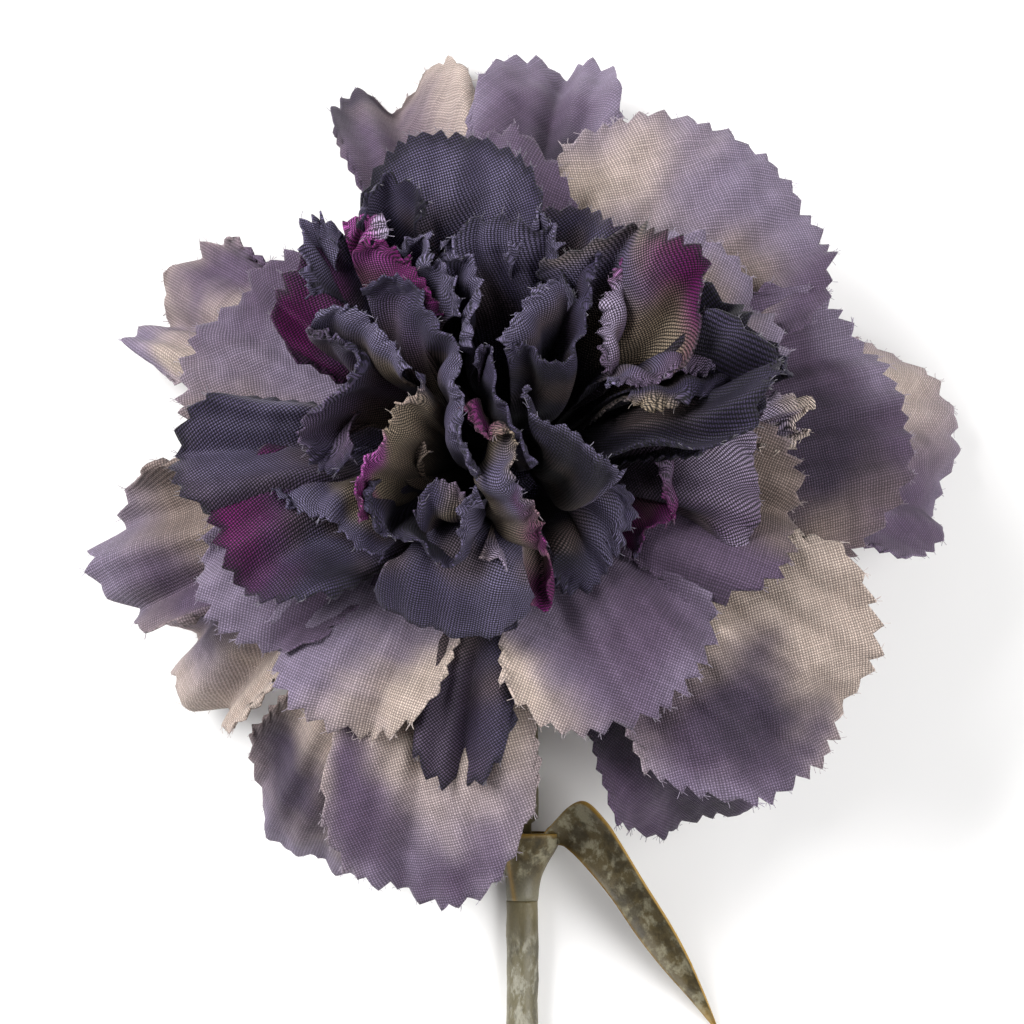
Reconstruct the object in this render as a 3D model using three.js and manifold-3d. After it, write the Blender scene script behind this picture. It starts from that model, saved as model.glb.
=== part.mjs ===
// An artificial carnation lying on a table: eight fabric rosettes pushed over the peg of a moulded
// plastic stem, with a calyx cup, a leaf sleeve and a wire core. Millimetres, +Z up, the stem along -Y.
import * as THREE from "three";
import { mergeVertices } from "three/addons/utils/BufferGeometryUtils.js";
import Module from "manifold-3d";

const wasm = await Module();
wasm.setup();
const { Manifold, Mesh } = wasm;

// Driving dimensions, in millimetres and degrees.
const bloom = {
  hubHeight: 23.5,
  tiltUp: 11,
  tiltLeft: 5,
  hubStep: 1.3,
  hubThickness: 1.0,
  hubHole: 1.2,
  rimRounding: 0.24,
  toothDepth: 0.55,
  toothPitch: 4.0,
  ruffleToothDepth: 0.3,
  crease: 0.93,
  knee: 0.68,
};
const cloth = { thickness: 0.6, gap: 0.3, floor: 0.25, floorSoftness: 0.5, clawWidth: 2.6, clawShare: 0.8 };
const peg = {
  radius: 0.9,
  headRadius: 1.1,
  headBase: 11.2,
  headTop: 12.3,
  flangeRadius: 4.1,
  flangeTop: 0.5,
  flangeDepth: 1.6,
};
const stem = { radius: 1.8, cutEnd: -165, axisX: 1.15, axisZ: 1.765, kneeStart: -14.5, kneeReach: 6.5 };
const seat = { from: -46.5, to: -38.0, radius: 1.0 };
const wire = { radius: 0.35, boreRadius: 0.65, inset: 0.5, sides: 8 };
const calyx = {
  foot: -13,
  hole: 2.1,
  sides: 25,
  teeth: 5,
  firstTooth: 20,
  toothTop: 0.5,
  toothRoot: -3.5,
  toothGap: 1.7,
};

// Each rosette: slope of its petals at root and rim, root radius, hub radius, cupping and fluting;
// the three of the heart hold ruffles only.
const tiers = [
  { rise: [10, -70], root: 5.0, hub: 5.8, cup: 0.25, flute: 1.6, waves: 1.0, columns: 7 },
  { rise: [30, -36], root: 5.0, hub: 5.8, cup: 0.15, flute: 1.6, waves: 1.1, columns: 7 },
  { rise: [46, -22], root: 5.0, hub: 5.6, cup: 0.25, flute: 1.8, waves: 1.2, columns: 6 },
  { rise: [60, 4], root: 5.0, hub: 5.3, cup: 0.55, flute: 2.2, waves: 1.3, columns: 6 },
  { rise: [70, 30], root: 4.4, hub: 4.7, cup: 0.7, flute: 2.4, waves: 1.4, columns: 5 },
  { root: 3.5, hub: 3.8 },
  { root: 2.6, hub: 2.9 },
  { root: 1.7, hub: 2.0 },
];

// The rows of a petal's net: how far out each lies, and what share of the columns it has.
const petalRows = [
  [0, 0.3],
  [0.3, 0.6],
  [0.6, 1],
  [0.9, 1],
];
const ruffleRows = [
  [0, 0.3],
  [0.36, 0.5],
  [0.72, 1],
];

function petal(tier, azimuth, length, width, phase, more = {}) {
  const shape = { twist: 0, fold: 0, rows: petalRows, ...tiers[tier - 1] };
  return { ...shape, tier, azimuth, length, width, phase, ...more };
}

// Rosette number, direction round the axis, length, width and fluting phase of each petal.
const petals = [
  petal(1, 7, 51, 25, 0.2, { rise: [8, -66] }),
  petal(1, -50, 45, 30, 1.4, { waves: 1.3 }),
  petal(1, -120, 49, 25, 2.5),
  petal(1, -155, 46, 19, 0.9, { waves: 1.6, flute: 2.4 }),
  petal(1, 149, 51, 17, 3.1, { fold: 15 }),
  petal(1, 106, 50, 18, 4.0, { fold: 25, rise: [14, -56] }),
  petal(1, 85, 48, 17, 5.0, { fold: 10, rise: [22, -50] }),
  petal(2, 52, 41, 33, 0.5, { flute: 1.2 }),
  petal(2, 7, 39, 31, 2.2),
  petal(2, -40, 42, 31, 3.6, { flute: 1.8 }),
  petal(2, -103, 45, 26, 5.2),
  petal(2, 191, 43, 18, 1.7, { waves: 1.5, flute: 2.2, rise: [20, -40] }),
  petal(2, 154, 33, 25, 0.1, { rise: [34, -30] }),
  petal(3, -60, 28, 24, 0.8, { rise: [40, -15] }),
  petal(3, -127, 31, 20, 2.0),
  petal(3, -14, 29, 20, 4.1, { flute: 2.6 }),
  petal(3, 97, 33, 22, 3.3),
  petal(3, 206, 32, 18, 1.1),
  petal(3, 34, 30, 22, 5.1),
  petal(4, 100, 35, 20, 0.7, { flute: 1.5, rise: [62, 14] }),
  petal(4, 62, 28, 20, 2.9, { rise: [62, 12] }),
  petal(4, 20, 30, 17, 1.9, { flute: 2.4 }),
  petal(4, -99, 33, 12, 4.4, { fold: 30, rise: [34, -24] }),
  petal(4, 202, 31, 18, 3.0, { rise: [58, 0] }),
  petal(4, 183, 34, 14, 5.6, { flute: 2.6, rise: [58, 2] }),
  petal(4, 137, 31, 13, 1.5, { rise: [62, 14] }),
  petal(5, 44, 33, 16, 1.6, { rise: [68, 24] }),
  petal(5, 10, 35, 13, 2.7, { twist: -20, fold: 20, rise: [66, 10] }),
  petal(5, 80, 30, 11, 2.1, { flute: 1.5, rise: [72, 34] }),
];

// A ruffled petal of the heart, set by hand along its rim: [x, y, z, lean in x, lean in y] of each station,
// the lean running down to the knee; root gives its directions on the hub, drop the knee's depth.
function ruffle(tier, root, drop, rim) {
  return { tier, root, drop, rim, phase: root[0], columns: rim.length - 1, rows: ruffleRows };
}

const ruffles = [
  ruffle(5, [228, 285], -4, [
    [-14.2, -11.7, 43.5, 1.2, 2.6], [-12.1, -14.1, 42.5, 1.6, 5], [-8.5, -15.5, 42, 1, 6.8],
    [-4.9, -16.3, 41.5, 0, 7], [-1.2, -15.7, 42, -1, 6], [1.3, -14.1, 42.5, -1, 4],
    [2.6, -12.8, 43, -1, 2.5],
  ]),
  ruffle(5, [290, 340], -1.5, [
    [3.7, -11.0, 40, 0.6, 2.6], [5.5, -11.8, 39, 0.4, 5], [8.1, -11.6, 38.5, -1, 6],
    [9.7, -9.9, 39.5, -2.6, 5.4], [10.9, -7.5, 41, -3.4, 4.4], [12.2, -5.2, 42, -4, 3],
    [12.8, -2.8, 43, -4, 1.4], [11.4, -0.6, 45, -2.6, -0.4],
  ]),
  ruffle(5, [18, -24], -1.5, [
    [25.4, 6.8, 41, -5, -0.5], [25.6, 3.9, 41, -6, 0], [25.7, 0.8, 40, -6, 0.5],
    [26.0, -2.3, 40, -6.4, 0], [24.6, -5.9, 39, -4.6, 2], [23.4, -8.5, 38, -2.6, 4],
    [21.8, -11.5, 37, -0.8, 5],
  ]),
  ruffle(5, [24, 12], 0.8, [
    [25.9, 8.3, 40, -0.6, -2], [28.3, 8.8, 38.5, -2, -2.4], [31.2, 8.1, 37, -4, -2.4],
    [29.8, 5.6, 37, -3.4, 0], [30.8, 4.8, 36.5, -4, 0.6], [28.8, 2.9, 37.5, -3, 2],
    [26.2, 3.2, 38.5, -1, 2],
  ]),
  ruffle(5, [8, -30], 2, [
    [15.0, 1.7, 43, 1.2, 0.4], [15.5, -0.2, 43, 1.2, 0.3], [15.8, -2.3, 42.5, 1.2, 0.6],
    [17.2, -4.2, 41, -0.8, 1.6], [15.3, -4.9, 41, -0.8, 1.4], [13.8, -6.4, 40, -1, 1.2],
    [13.0, -8.4, 39, -1, 1.2],
  ]),
  ruffle(6, [52, 42], 1.5, [
    [9.5, 10.8, 50, 1.2, -0.5], [8.9, 14.8, 50, 2.1, 0], [9.6, 18.9, 49, 2.2, -0.6],
    [11.4, 22.3, 47.5, 1.5, -1.5], [14.1, 24.3, 45.5, 0.8, -1.6],
  ]),
  ruffle(6, [118, 148], 4, [
    [-17.8, 25.5, 44, 0.5, -6], [-19.9, 27.3, 42.5, 2, -8], [-21.9, 26.1, 43, 4.5, -7],
    [-21.8, 21.7, 45.5, 4.5, -3], [-21.1, 18.4, 46.5, 3.8, 0],
  ]),
  ruffle(6, [150, 134], 3, [
    [-19.6, 17.0, 48, -0.5, -2.2], [-16.6, 17.6, 50, -1.5, -3], [-13.1, 14.9, 51.5, -2.2, -2.6],
    [-10.4, 11.2, 53, -1.6, -1.4],
  ]),
  ruffle(6, [128, 114], 2.5, [
    [-17.3, 26.0, 45, 1, -3.5], [-15.2, 27.2, 45, 0, -4.5], [-12.8, 26.4, 46, -2, -3.5],
    [-12.9, 24.2, 47, -2.4, -1.6],
  ]),
  ruffle(6, [124, 106], 3, [
    [-15.7, 24.0, 47, -0.5, -3], [-13.1, 24.1, 48, -1, -3.4], [-10.6, 22.3, 49, -1.8, -3],
    [-8.6, 19.6, 50, -1.8, -2.2], [-7.2, 16.8, 50.5, -1.2, -1.5],
  ]),
  ruffle(7, [125, 195], 5, [
    [-15.5, 19.6, 49.5, 2.2, -4.6], [-13.1, 20.8, 50.5, 1.2, -6.5], [-10.8, 19.9, 51.5, 0.8, -7],
    [-9.3, 17.6, 53, 0.4, -4.5], [-6.9, 15.3, 54, -1.6, -1.4], [-4.9, 12.9, 54.5, -1.8, -0.6],
    [-5.7, 9.6, 55, -1.6, 0], [-4.8, 7.5, 55, -1.2, 0], [-5.6, 5.0, 55, -1.4, 0.2],
    [-4.8, 2.1, 54.5, -1.2, 0.3], [-3.5, -0.2, 53.5, -1, 0.8],
  ]),
  ruffle(6, [116, 98], 4, [
    [-11.7, 23.4, 48, 1, -2.6], [-10.4, 25.0, 47.5, 0.4, -3.4], [-8.2, 25.2, 47.5, -0.6, -3.2],
    [-8.4, 22.5, 49.5, -1.4, -1.6], [-7.1, 22.1, 50, -1.4, -2.6], [-5.9, 19.7, 51.5, -2, -1.8],
    [-5.6, 16.6, 53, -1.6, -1],
  ]),
  ruffle(6, [104, 90], 5, [
    [-7.2, 24.2, 48.5, -0.4, -1.8], [-5.8, 24.7, 48, -0.6, -2.6], [-6.0, 22.7, 49.5, -1.2, -1.4],
    [-4.6, 22.5, 49.5, -1, -2.6], [-3.5, 20.9, 50.5, -1.7, -1.9], [-2.9, 18.4, 52, -1.9, -1],
    [-3.9, 15.3, 53.5, -1.2, -0.4], [-4.0, 13.2, 54, -1, -0.4],
  ]),
  ruffle(6, [92, 66], 5, [
    [-1.2, 22.7, 49.5, 1.6, -3], [0.0, 24.6, 48.5, 1.2, -5], [1.6, 26.4, 47, 0.6, -7.2],
    [3.0, 27.5, 46.5, -0.3, -8.2], [4.1, 26.2, 47, -1, -6.8], [5.3, 24.0, 48.5, -2, -4.8],
  ]),
  ruffle(7, [88, 64], 2.5, [
    [-1.5, 13.6, 54, 2.4, -1.4], [-0.4, 15.4, 53.5, 2.8, -1.3], [0.8, 17.3, 52.5, 2.6, -1.3],
    [2.3, 19.3, 51.5, 2.2, -1.2], [3.8, 20.2, 51, 1.8, -1.4],
  ]),
  ruffle(7, [80, 38], 4.5, [
    [-0.7, 12.9, 53.5, 0.4, -2.6], [1.3, 13.8, 53.5, 0.2, -3.2], [3.4, 12.2, 53.5, 0.2, -3],
    [5.3, 11.9, 53, 0.6, -2.8], [7.0, 14.2, 52, -1, -1.6], [7.9, 17.4, 51, -1.8, -0.6],
    [8.3, 20.5, 49.5, -1.6, -0.6], [9.4, 23.0, 48, -1, -1.2],
  ]),
  ruffle(8, [112, 6], 6, [
    [-3.9, 11.8, 55, 0.5, -2.2], [-3.4, 13.4, 54.5, 0.6, -3], [-2.5, 13.8, 54.5, -0.2, -3],
    [-1.4, 12.7, 55, -1.2, -1.5], [-1.4, 9.6, 56, -1.6, 0], [-0.6, 7.0, 56, -1.5, -0.4],
    [0.8, 3.9, 55.5, -1.4, -0.6], [2.4, 1.3, 54.5, -1.2, -0.8],
  ]),
  ruffle(8, [160, 290], 3.5, [
    [-5.0, 7.3, 54.5, 1.4, 0.4], [-3.9, 5.4, 55, 1.5, 1], [-2.6, 4.0, 55, 0.4, 1.4],
    [-1.2, 4.2, 55.3, 0, 1], [0.1, 4.0, 55.3, -1.2, 0], [0.1, 1.1, 55, -2.4, -0.4],
    [0.9, -1.3, 54, -3, -0.6], [2.4, -3.2, 52.5, -3.6, -0.2], [3.0, -5.8, 50.5, -4, 0.6],
    [3.5, -8.2, 48.5, -3.4, 1.4],
  ]),
  ruffle(6, [255, 295], 4, [
    [-3.3, -8.0, 47, 1, 2.4], [-1.2, -8.8, 47, 1, 3], [0.3, -11.0, 45, 1.4, 4],
    [2.7, -13.3, 43, 0.4, 5], [3.5, -11.2, 44.5, -0.6, 4],
  ]),
  ruffle(7, [52, -22], 3.5, [
    [1.9, 9.0, 54, 0, -2], [1.6, 7.2, 54, 0.8, -2.4], [3.4, 5.8, 53.5, -0.3, -3.6],
    [6.0, 5.0, 53, -1.2, -4.2], [8.1, 3.1, 52, -1.8, -4.2], [9.9, 1.7, 51, -2.4, -3.8],
    [11.5, 0.6, 50, -3.2, -3],
  ]),
  ruffle(7, [138, 206], 4, [
    [-9.1, 10.8, 53.5, 0.8, -2.2], [-9.3, 8.8, 53.5, 1.2, -2.4], [-11.4, 7.6, 53, 2, -1.6],
    [-12.5, 5.5, 52.5, 2.4, -0.8], [-13.7, 3.2, 52, 2.4, -0.4], [-15.5, 0.8, 51, 2.6, 0],
    [-16.0, -1.8, 50, 2, 0.4], [-15.0, -4.4, 48.5, 1.2, 1],
  ]),
  ruffle(8, [205, 175], 3, [
    [-11.0, 0.6, 45, 0.6, -1.4], [-10.4, 3.3, 46.5, 0.6, -3], [-9.3, 4.2, 47, -0.2, -3],
    [-8.3, 2.6, 47, -1.4, -1.8],
  ]),
  ruffle(7, [200, 262], 4.5, [
    [-14.0, -0.5, 50, 1.4, 0.4], [-14.5, -2.4, 49.5, 1.8, 0.5], [-13.1, -5.9, 48, 1, 1.6],
    [-11.0, -6.5, 48.5, 0, 1.8], [-9.0, -7.3, 48.5, 0.2, 2], [-7.4, -8.9, 47.5, 0.4, 2.4],
    [-5.8, -8.1, 48.5, 1.6, 1], [-5.7, -5.4, 50.5, 1.8, 0], [-5.3, -2.8, 52, 1.8, -0.2],
    [-3.5, -1.2, 53, 0.6, -1.4],
  ]),
  ruffle(8, [216, 252], 3, [
    [-10.0, -3.5, 49, 1, -1.8], [-8.3, -0.6, 50.5, 0.2, -3.4], [-6.8, -0.3, 51, -0.3, -3.6],
    [-4.6, -1.5, 51.5, -1, -2.6],
  ]),
  ruffle(6, [188, 230], 3, [
    [-24.6, -0.6, 42, 1.4, 2], [-23.5, -2.5, 42.5, 1.8, 3], [-21.4, -3.7, 44, 1.8, 3.4],
    [-18.8, -4.2, 46, 1.8, 3], [-17.1, -5.6, 46.5, 1.8, 2.4], [-15.5, -7.2, 46.5, 1.7, 2],
    [-13.8, -8.7, 46, 1.4, 1.8],
  ]),
  ruffle(6, [148, 194], 4, [
    [-20.7, 15.7, 47, 0.4, -1.8], [-18.3, 14.7, 48.5, -0.4, -1.8], [-16.5, 13.2, 50, 1.6, -1],
    [-16.1, 11.3, 50.5, 2.6, 0], [-17.8, 9.3, 49.5, 3.6, 0.6], [-20.4, 7.2, 48, 4.8, 1],
    [-22.1, 5.1, 46.5, 5.4, 1], [-21.6, 2.9, 45.5, 5.2, 2], [-20.0, 1.1, 45, 3.8, 4],
    [-18.2, 0.7, 46, 1.6, 5], [-16.5, 2.1, 47.5, 0.2, 4.8],
  ]),
  ruffle(6, [34, 6], 3, [
    [9.4, 9.3, 53, 0.2, 1], [11.5, 9.6, 52.5, 0.2, 1.7], [14.3, 9.3, 51.5, 0, 2.3],
    [16.6, 11.0, 51, 0, 2.1], [19.6, 10.6, 49, -0.4, 2.6], [22.1, 13.1, 47.5, -1.6, 1.2],
    [23.9, 14.9, 45.5, -1.4, -3], [27.4, 13.8, 42, -3, -3.6], [29.3, 11.0, 40.5, -3.4, -2],
  ]),
  ruffle(6, [22, 2], 3, [
    [11.6, 7.9, 53.5, 0.4, 1.4], [14.5, 6.9, 52.5, 0.5, 2.2], [17.9, 8.0, 51, 0.3, 2.1],
    [21.5, 9.1, 48.5, 0.2, 1.9], [24.6, 10.5, 46.5, -0.2, 1.2],
  ]),
];

// Waves that crumple the whole head: direction, wavelength, amplitude and phase. They grow with height and
// fade away from the axis.
const crumples = [
  [30, 30, 2.4, 0.4],
  [120, 26, 2.2, 1.9],
  [75, 17, 1.4, 0.6],
  [165, 15, 1.3, 2.8],
];

// The least cosine a corner's offset is stretched by, and a step back from a blade's outline.
const blunt = 0.55;
const inwards = 0.98;

const crumpleZone = { from: 11, rise: 22, fadeFrom: 12, fadeOver: 22, fade: 0.65, climb: 0.03 };

const degrees = Math.PI / 180;
const clamp = (x) => Math.min(1, Math.max(0, x));
const ease = (x) => clamp(x) * clamp(x) * (3 - 2 * clamp(x));

const bloomPose = new THREE.Matrix4()
  .makeTranslation(0, 0, bloom.hubHeight)
  .multiply(new THREE.Matrix4().makeRotationX(-bloom.tiltUp * degrees))
  .multiply(new THREE.Matrix4().makeRotationY(-bloom.tiltLeft * degrees));

// A wave with tighter creases than a sine.
const pleat = (angle) => Math.asin(bloom.crease * Math.sin(angle)) / Math.asin(bloom.crease);

// A point of a petal's middle surface: u runs across it from -1 to 1, v from root 0 to rim 1.
function petalPoint(p, u, v, tooth) {
  const halfAngle = Math.asin(Math.min(0.95, p.width / (1.52 * p.length)));
  const reach = p.length * (1 - bloom.rimRounding * Math.abs(u) ** 2.6) + tooth;
  const claw = Math.min(cloth.clawWidth, p.root * cloth.clawShare);
  let across = u * claw * (1 - v) + v * reach * Math.sin(u * halfAngle);
  const along = v * reach * Math.cos(u * halfAngle);

  const start = p.rise[0] * degrees;
  const bend = (p.rise[1] - p.rise[0]) * degrees;
  const slope = start + (bend * along) / p.length;
  const out = (p.length / bend) * (Math.sin(slope) - Math.sin(start));
  const up = (-p.length / bend) * (Math.cos(slope) - Math.cos(start));

  const spread = p.tier < 4 ? 1 : ease(v * 3);
  const curve = (1 - spread) / (p.root + out) + (spread * p.cup) / Math.max(p.root + out, 5);
  const s = across;
  across = Math.sin(curve * s) / curve;
  let lift = (1 - Math.cos(curve * s)) / curve;
  const opening = ease(v * 1.6);
  const fold = p.fold * degrees;
  lift += (Math.sqrt(s * s + 1) - 1) * Math.sin(fold) * opening;
  across *= 1 - (1 - Math.cos(fold)) * opening;
  lift += p.flute * v ** 1.7 * pleat(1.5 * Math.PI * p.waves * u + p.phase);
  const turn = p.twist * degrees * v;
  const side = across * Math.cos(turn) - lift * Math.sin(turn);
  lift = across * Math.sin(turn) + lift * Math.cos(turn);

  const azimuth = p.azimuth * degrees;
  const radius = p.root + out - lift * Math.sin(slope);
  const point = new THREE.Vector3(
    radius * Math.cos(azimuth) - side * Math.sin(azimuth),
    radius * Math.sin(azimuth) + side * Math.cos(azimuth),
    p.tier * bloom.hubStep + up + lift * Math.cos(slope),
  );
  crumple(point);
  point.applyMatrix4(bloomPose);
  const above = point.z - cloth.floor;
  point.z = cloth.floor + (above + Math.sqrt(above * above + cloth.floorSoftness ** 2)) / 2;
  return point;
}

function crumple(point) {
  const zone = crumpleZone;
  const fade = 1 - zone.fade * ease((Math.hypot(point.x, point.y) - zone.fadeFrom) / zone.fadeOver);
  const grow = ease((point.z - zone.from) / zone.rise) * fade;
  for (const [direction, wavelength, amplitude, phase] of crumples) {
    const c = Math.cos(direction * degrees);
    const s = Math.sin(direction * degrees);
    const offset = -point.x * s + point.y * c;
    const angle = (2 * Math.PI * offset) / wavelength + phase + zone.climb * point.z;
    const move = amplitude * grow * Math.sin(angle);
    point.x += move * c;
    point.y += move * s;
  }
}

// The smooth curve through hand-set stations, at a place counted in stations.
function stationAt(stations, place) {
  const last = stations.length - 1;
  const at = Math.max(0, Math.min(last - 1, Math.floor(place)));
  const t = place - at;
  return stations[at].map((b, k) => {
    const c = stations[at + 1][k];
    const a = at > 0 ? stations[at - 1][k] : 2 * b - c;
    const d = at < last - 1 ? stations[at + 2][k] : 2 * c - b;
    const curve = 2 * a - 5 * b + 4 * c - d;
    return 0.5 * (2 * b + (c - a) * t + curve * t * t + (3 * b - a - 3 * c + d) * t ** 3);
  });
}

// A point of a ruffle: one smooth curve from the hub through the knee to the rim.
function rufflePoint(p, u, v, tooth) {
  const [x, y, z, leanX, leanY] = stationAt(p.rim, ((u + 1) / 2) * (p.rim.length - 1));
  const rim = new THREE.Vector3(x, y, z);
  const knee = new THREE.Vector3(x + leanX, y + leanY, z - p.drop);
  rim.addScaledVector(rim.clone().sub(knee).normalize(), tooth);
  const angle = (p.root[0] + ((p.root[1] - p.root[0]) * (u + 1)) / 2) * degrees;
  const radius = tiers[p.tier - 1].root;
  const root = new THREE.Vector3(radius * Math.cos(angle), radius * Math.sin(angle), p.tier * bloom.hubStep);
  root.applyMatrix4(bloomPose);
  const bend = bloom.knee;
  return root
    .multiplyScalar(((v - bend) * (v - 1)) / bend)
    .addScaledVector(knee, (v * (v - 1)) / bend / (bend - 1))
    .addScaledVector(rim, (v * (v - bend)) / (1 - bend));
}

const surfacePoint = (p, u, v, tooth) => (p.rim ? rufflePoint(p, u, v, tooth) : petalPoint(p, u, v, tooth));

// The petal's flat net: rows of spots, coarser near the root, the last one along the pinked rim.
function petalNet(p) {
  const depth = p.rim ? bloom.ruffleToothDepth : bloom.toothDepth;
  const rimCount = p.rim ? p.columns : 2 * Math.round((p.width * 1.15) / bloom.toothPitch);
  const counts = [...p.rows.map(([, share]) => Math.max(2, Math.round(share * p.columns))), rimCount];
  const spots = [];
  const triangles = [];
  counts.forEach((count, j) => {
    const start = spots.length;
    const onRim = j === p.rows.length;
    for (let i = 0; i <= count; i++) {
      const size = onRim ? depth * (0.8 + 0.2 * Math.sin(7.3 * i + 3 * p.phase)) : 0;
      spots.push({ u: (2 * i) / count - 1, v: onRim ? 1 : p.rows[j][0], tooth: i % 2 ? -size : size });
    }
    if (j > 0) triangles.push(...strip(start - counts[j - 1] - 1, counts[j - 1], start, count));
  });
  return { spots, triangles };
}

// Triangles between two rows of spots, each row a first spot and a count of cells.
function strip(lowStart, lowCount, highStart, highCount) {
  const triangles = [];
  let i = 0;
  let k = 0;
  while (i < lowCount || k < highCount) {
    const a = lowStart + i;
    const b = highStart + k;
    if (k === highCount || (i < lowCount && (i + 1) / lowCount <= (k + 1) / highCount)) {
      triangles.push([a, a + 1, b]);
      i++;
    } else {
      triangles.push([a, b + 1, b]);
      k++;
    }
  }
  return triangles;
}

// A closed blade: the net laid on both sides of the middle surface and walled along its outline.
// The margin thickens it and moves its outline out, for the clearance cut round a finished blade.
function petalSolid(p, margin) {
  const { spots, triangles } = petalNet(p);
  const middle = spots.map(({ u, v, tooth }) => {
    const spot = surfacePoint(p, u, v, tooth);
    const sideways = spot.clone().sub(surfacePoint(p, u * inwards, v, tooth)).normalize();
    const outwards = spot.clone().sub(surfacePoint(p, u, v * inwards, tooth)).normalize();
    if (Math.abs(u) === 1) spot.addScaledVector(sideways, margin);
    return v === 1 ? spot.addScaledVector(outwards, margin) : spot;
  });
  const half = cloth.thickness / 2 + margin;
  const offsets = evenOffsets(middle, triangles, half);
  const upper = moved(middle, offsets, 1);
  const lower = moved(middle, offsets, -1);
  const count = spots.length;
  const faces = [];
  const edges = new Map();
  for (const [a, b, c] of triangles) {
    faces.push([a, b, c], [a + count, c + count, b + count]);
    for (const [from, to] of [[a, b], [b, c], [c, a]]) {
      if (!edges.delete(to + "," + from)) edges.set(from + "," + to, [from, to]);
    }
  }
  for (const [from, to] of edges.values()) {
    faces.push([to, from, from + count], [to, from + count, to + count]);
  }
  return solidOf([...upper, ...lower], faces);
}

function facetNormal(a, b, c) {
  return b.clone().sub(a).cross(c.clone().sub(a)).normalize();
}

// How far each corner of a net moves along its own normal so that every facet ends up equally thick.
function evenOffsets(spots, triangles, half) {
  const around = spots.map(() => []);
  for (const corners of triangles) {
    const normal = facetNormal(...corners.map((i) => spots[i]));
    for (const corner of corners) around[corner].push(normal);
  }
  return around.map((normals) => {
    const mean = normals.reduce((sum, normal) => sum.add(normal), new THREE.Vector3()).normalize();
    const least = Math.min(...normals.map((normal) => normal.dot(mean)));
    return mean.multiplyScalar(half / Math.max(blunt, least));
  });
}

const moved = (spots, moves, side) => spots.map((spot, i) => spot.clone().addScaledVector(moves[i], side));

function solidOf(points, faces) {
  return closed(new Float32Array(points.flatMap((p) => [p.x, p.y, p.z])), faces.flat());
}

// A closed geometry as one solid.
function solidFrom(geometry) {
  geometry.deleteAttribute("normal");
  geometry.deleteAttribute("uv");
  const joined = mergeVertices(geometry, 1e-3);
  return closed(joined.attributes.position.array, joined.index.array);
}

function closed(vertProperties, corners) {
  return new Manifold(new Mesh({ numProp: 3, vertProperties, triVerts: new Uint32Array(corners) }));
}

// A round bar along the bloom's axis, between two heights on it.
function axisCylinder(from, to, lowRadius, highRadius, sides) {
  const bar = new THREE.CylinderGeometry(highRadius, lowRadius, to - from, sides);
  bar.rotateX(90 * degrees).translate(0, 0, (from + to) / 2).applyMatrix4(bloomPose);
  return solidFrom(bar);
}

function hubSolid(tier, extra) {
  const radius = tiers[tier - 1].hub + extra;
  const middle = tier * bloom.hubStep;
  const half = bloom.hubThickness / 2 + extra;
  return axisCylinder(middle - half, middle + half, radius, radius, 16);
}

function mainBody(solid) {
  const bodies = solid.decompose();
  return bodies.reduce((a, b) => (b.volume() > a.volume() ? b : a));
}

// A closed solid through a row of rings, each a list of points running the same way round.
function loft(rings) {
  const n = rings[0].length;
  const points = rings.flat();
  const faces = [];
  for (let j = 0; j < rings.length - 1; j++) {
    for (let i = 0; i < n; i++) {
      const a = j * n + i;
      const b = j * n + ((i + 1) % n);
      faces.push([a, b, b + n], [a, b + n, a + n]);
    }
  }
  const last = points.length;
  [rings[0], rings[rings.length - 1]].forEach((ring, end) => {
    const middle = ring.reduce((sum, p) => sum.add(p), new THREE.Vector3()).divideScalar(n);
    points.push(middle);
    const base = end ? last - n : 0;
    for (let i = 0; i < n; i++) {
      const a = base + i;
      const b = base + ((i + 1) % n);
      faces.push(end ? [a, b, last + 1] : [b, a, last]);
    }
  });
  const solid = solidOf(points, faces);
  return solid.volume() > 0 ? solid : solidOf(points, faces.map(([x, y, z]) => [x, z, y]));
}

function ringAround(centre, direction, radius, sides) {
  const side = new THREE.Vector3(1, 0, 0).cross(direction).normalize();
  const other = direction.clone().cross(side).normalize();
  return Array.from({ length: sides }, (_, i) => {
    const angle = ((i + 0.5) * 2 * Math.PI) / sides;
    return centre
      .clone()
      .addScaledVector(side, radius * Math.sin(angle))
      .addScaledVector(other, radius * Math.cos(angle));
  });
}

// The stem's centre line runs along the table, turns up through the knee and ends under the bloom.
const bloomAxis = new THREE.Vector3(0, 0, 1).transformDirection(bloomPose);
const onAxis = (height) => new THREE.Vector3(0, 0, height).applyMatrix4(bloomPose);
const kneeStart = new THREE.Vector3(stem.axisX, stem.kneeStart, stem.axisZ);
const kneeEnd = onAxis(calyx.foot);
const knee = new THREE.CubicBezierCurve3(
  kneeStart,
  kneeStart.clone().add(new THREE.Vector3(0, stem.kneeReach, 0)),
  kneeEnd.clone().addScaledVector(bloomAxis, -stem.kneeReach),
  kneeEnd,
);

// Rings along the stem: [position along Y, radius], then the knee, then the neck inside the calyx.
function stemTube(straight, kneeRadius, neckTop, sides) {
  const along = new THREE.Vector3(0, 1, 0);
  const rings = straight.map(([y, radius]) =>
    ringAround(new THREE.Vector3(stem.axisX, y, stem.axisZ), along, radius, sides),
  );
  for (let i = 0; i <= 8; i++) {
    rings.push(ringAround(knee.getPoint(i / 8), knee.getTangent(i / 8).normalize(), kneeRadius, sides));
  }
  rings.push(ringAround(onAxis(neckTop), bloomAxis, kneeRadius, sides));
  return loft(rings);
}

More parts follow.
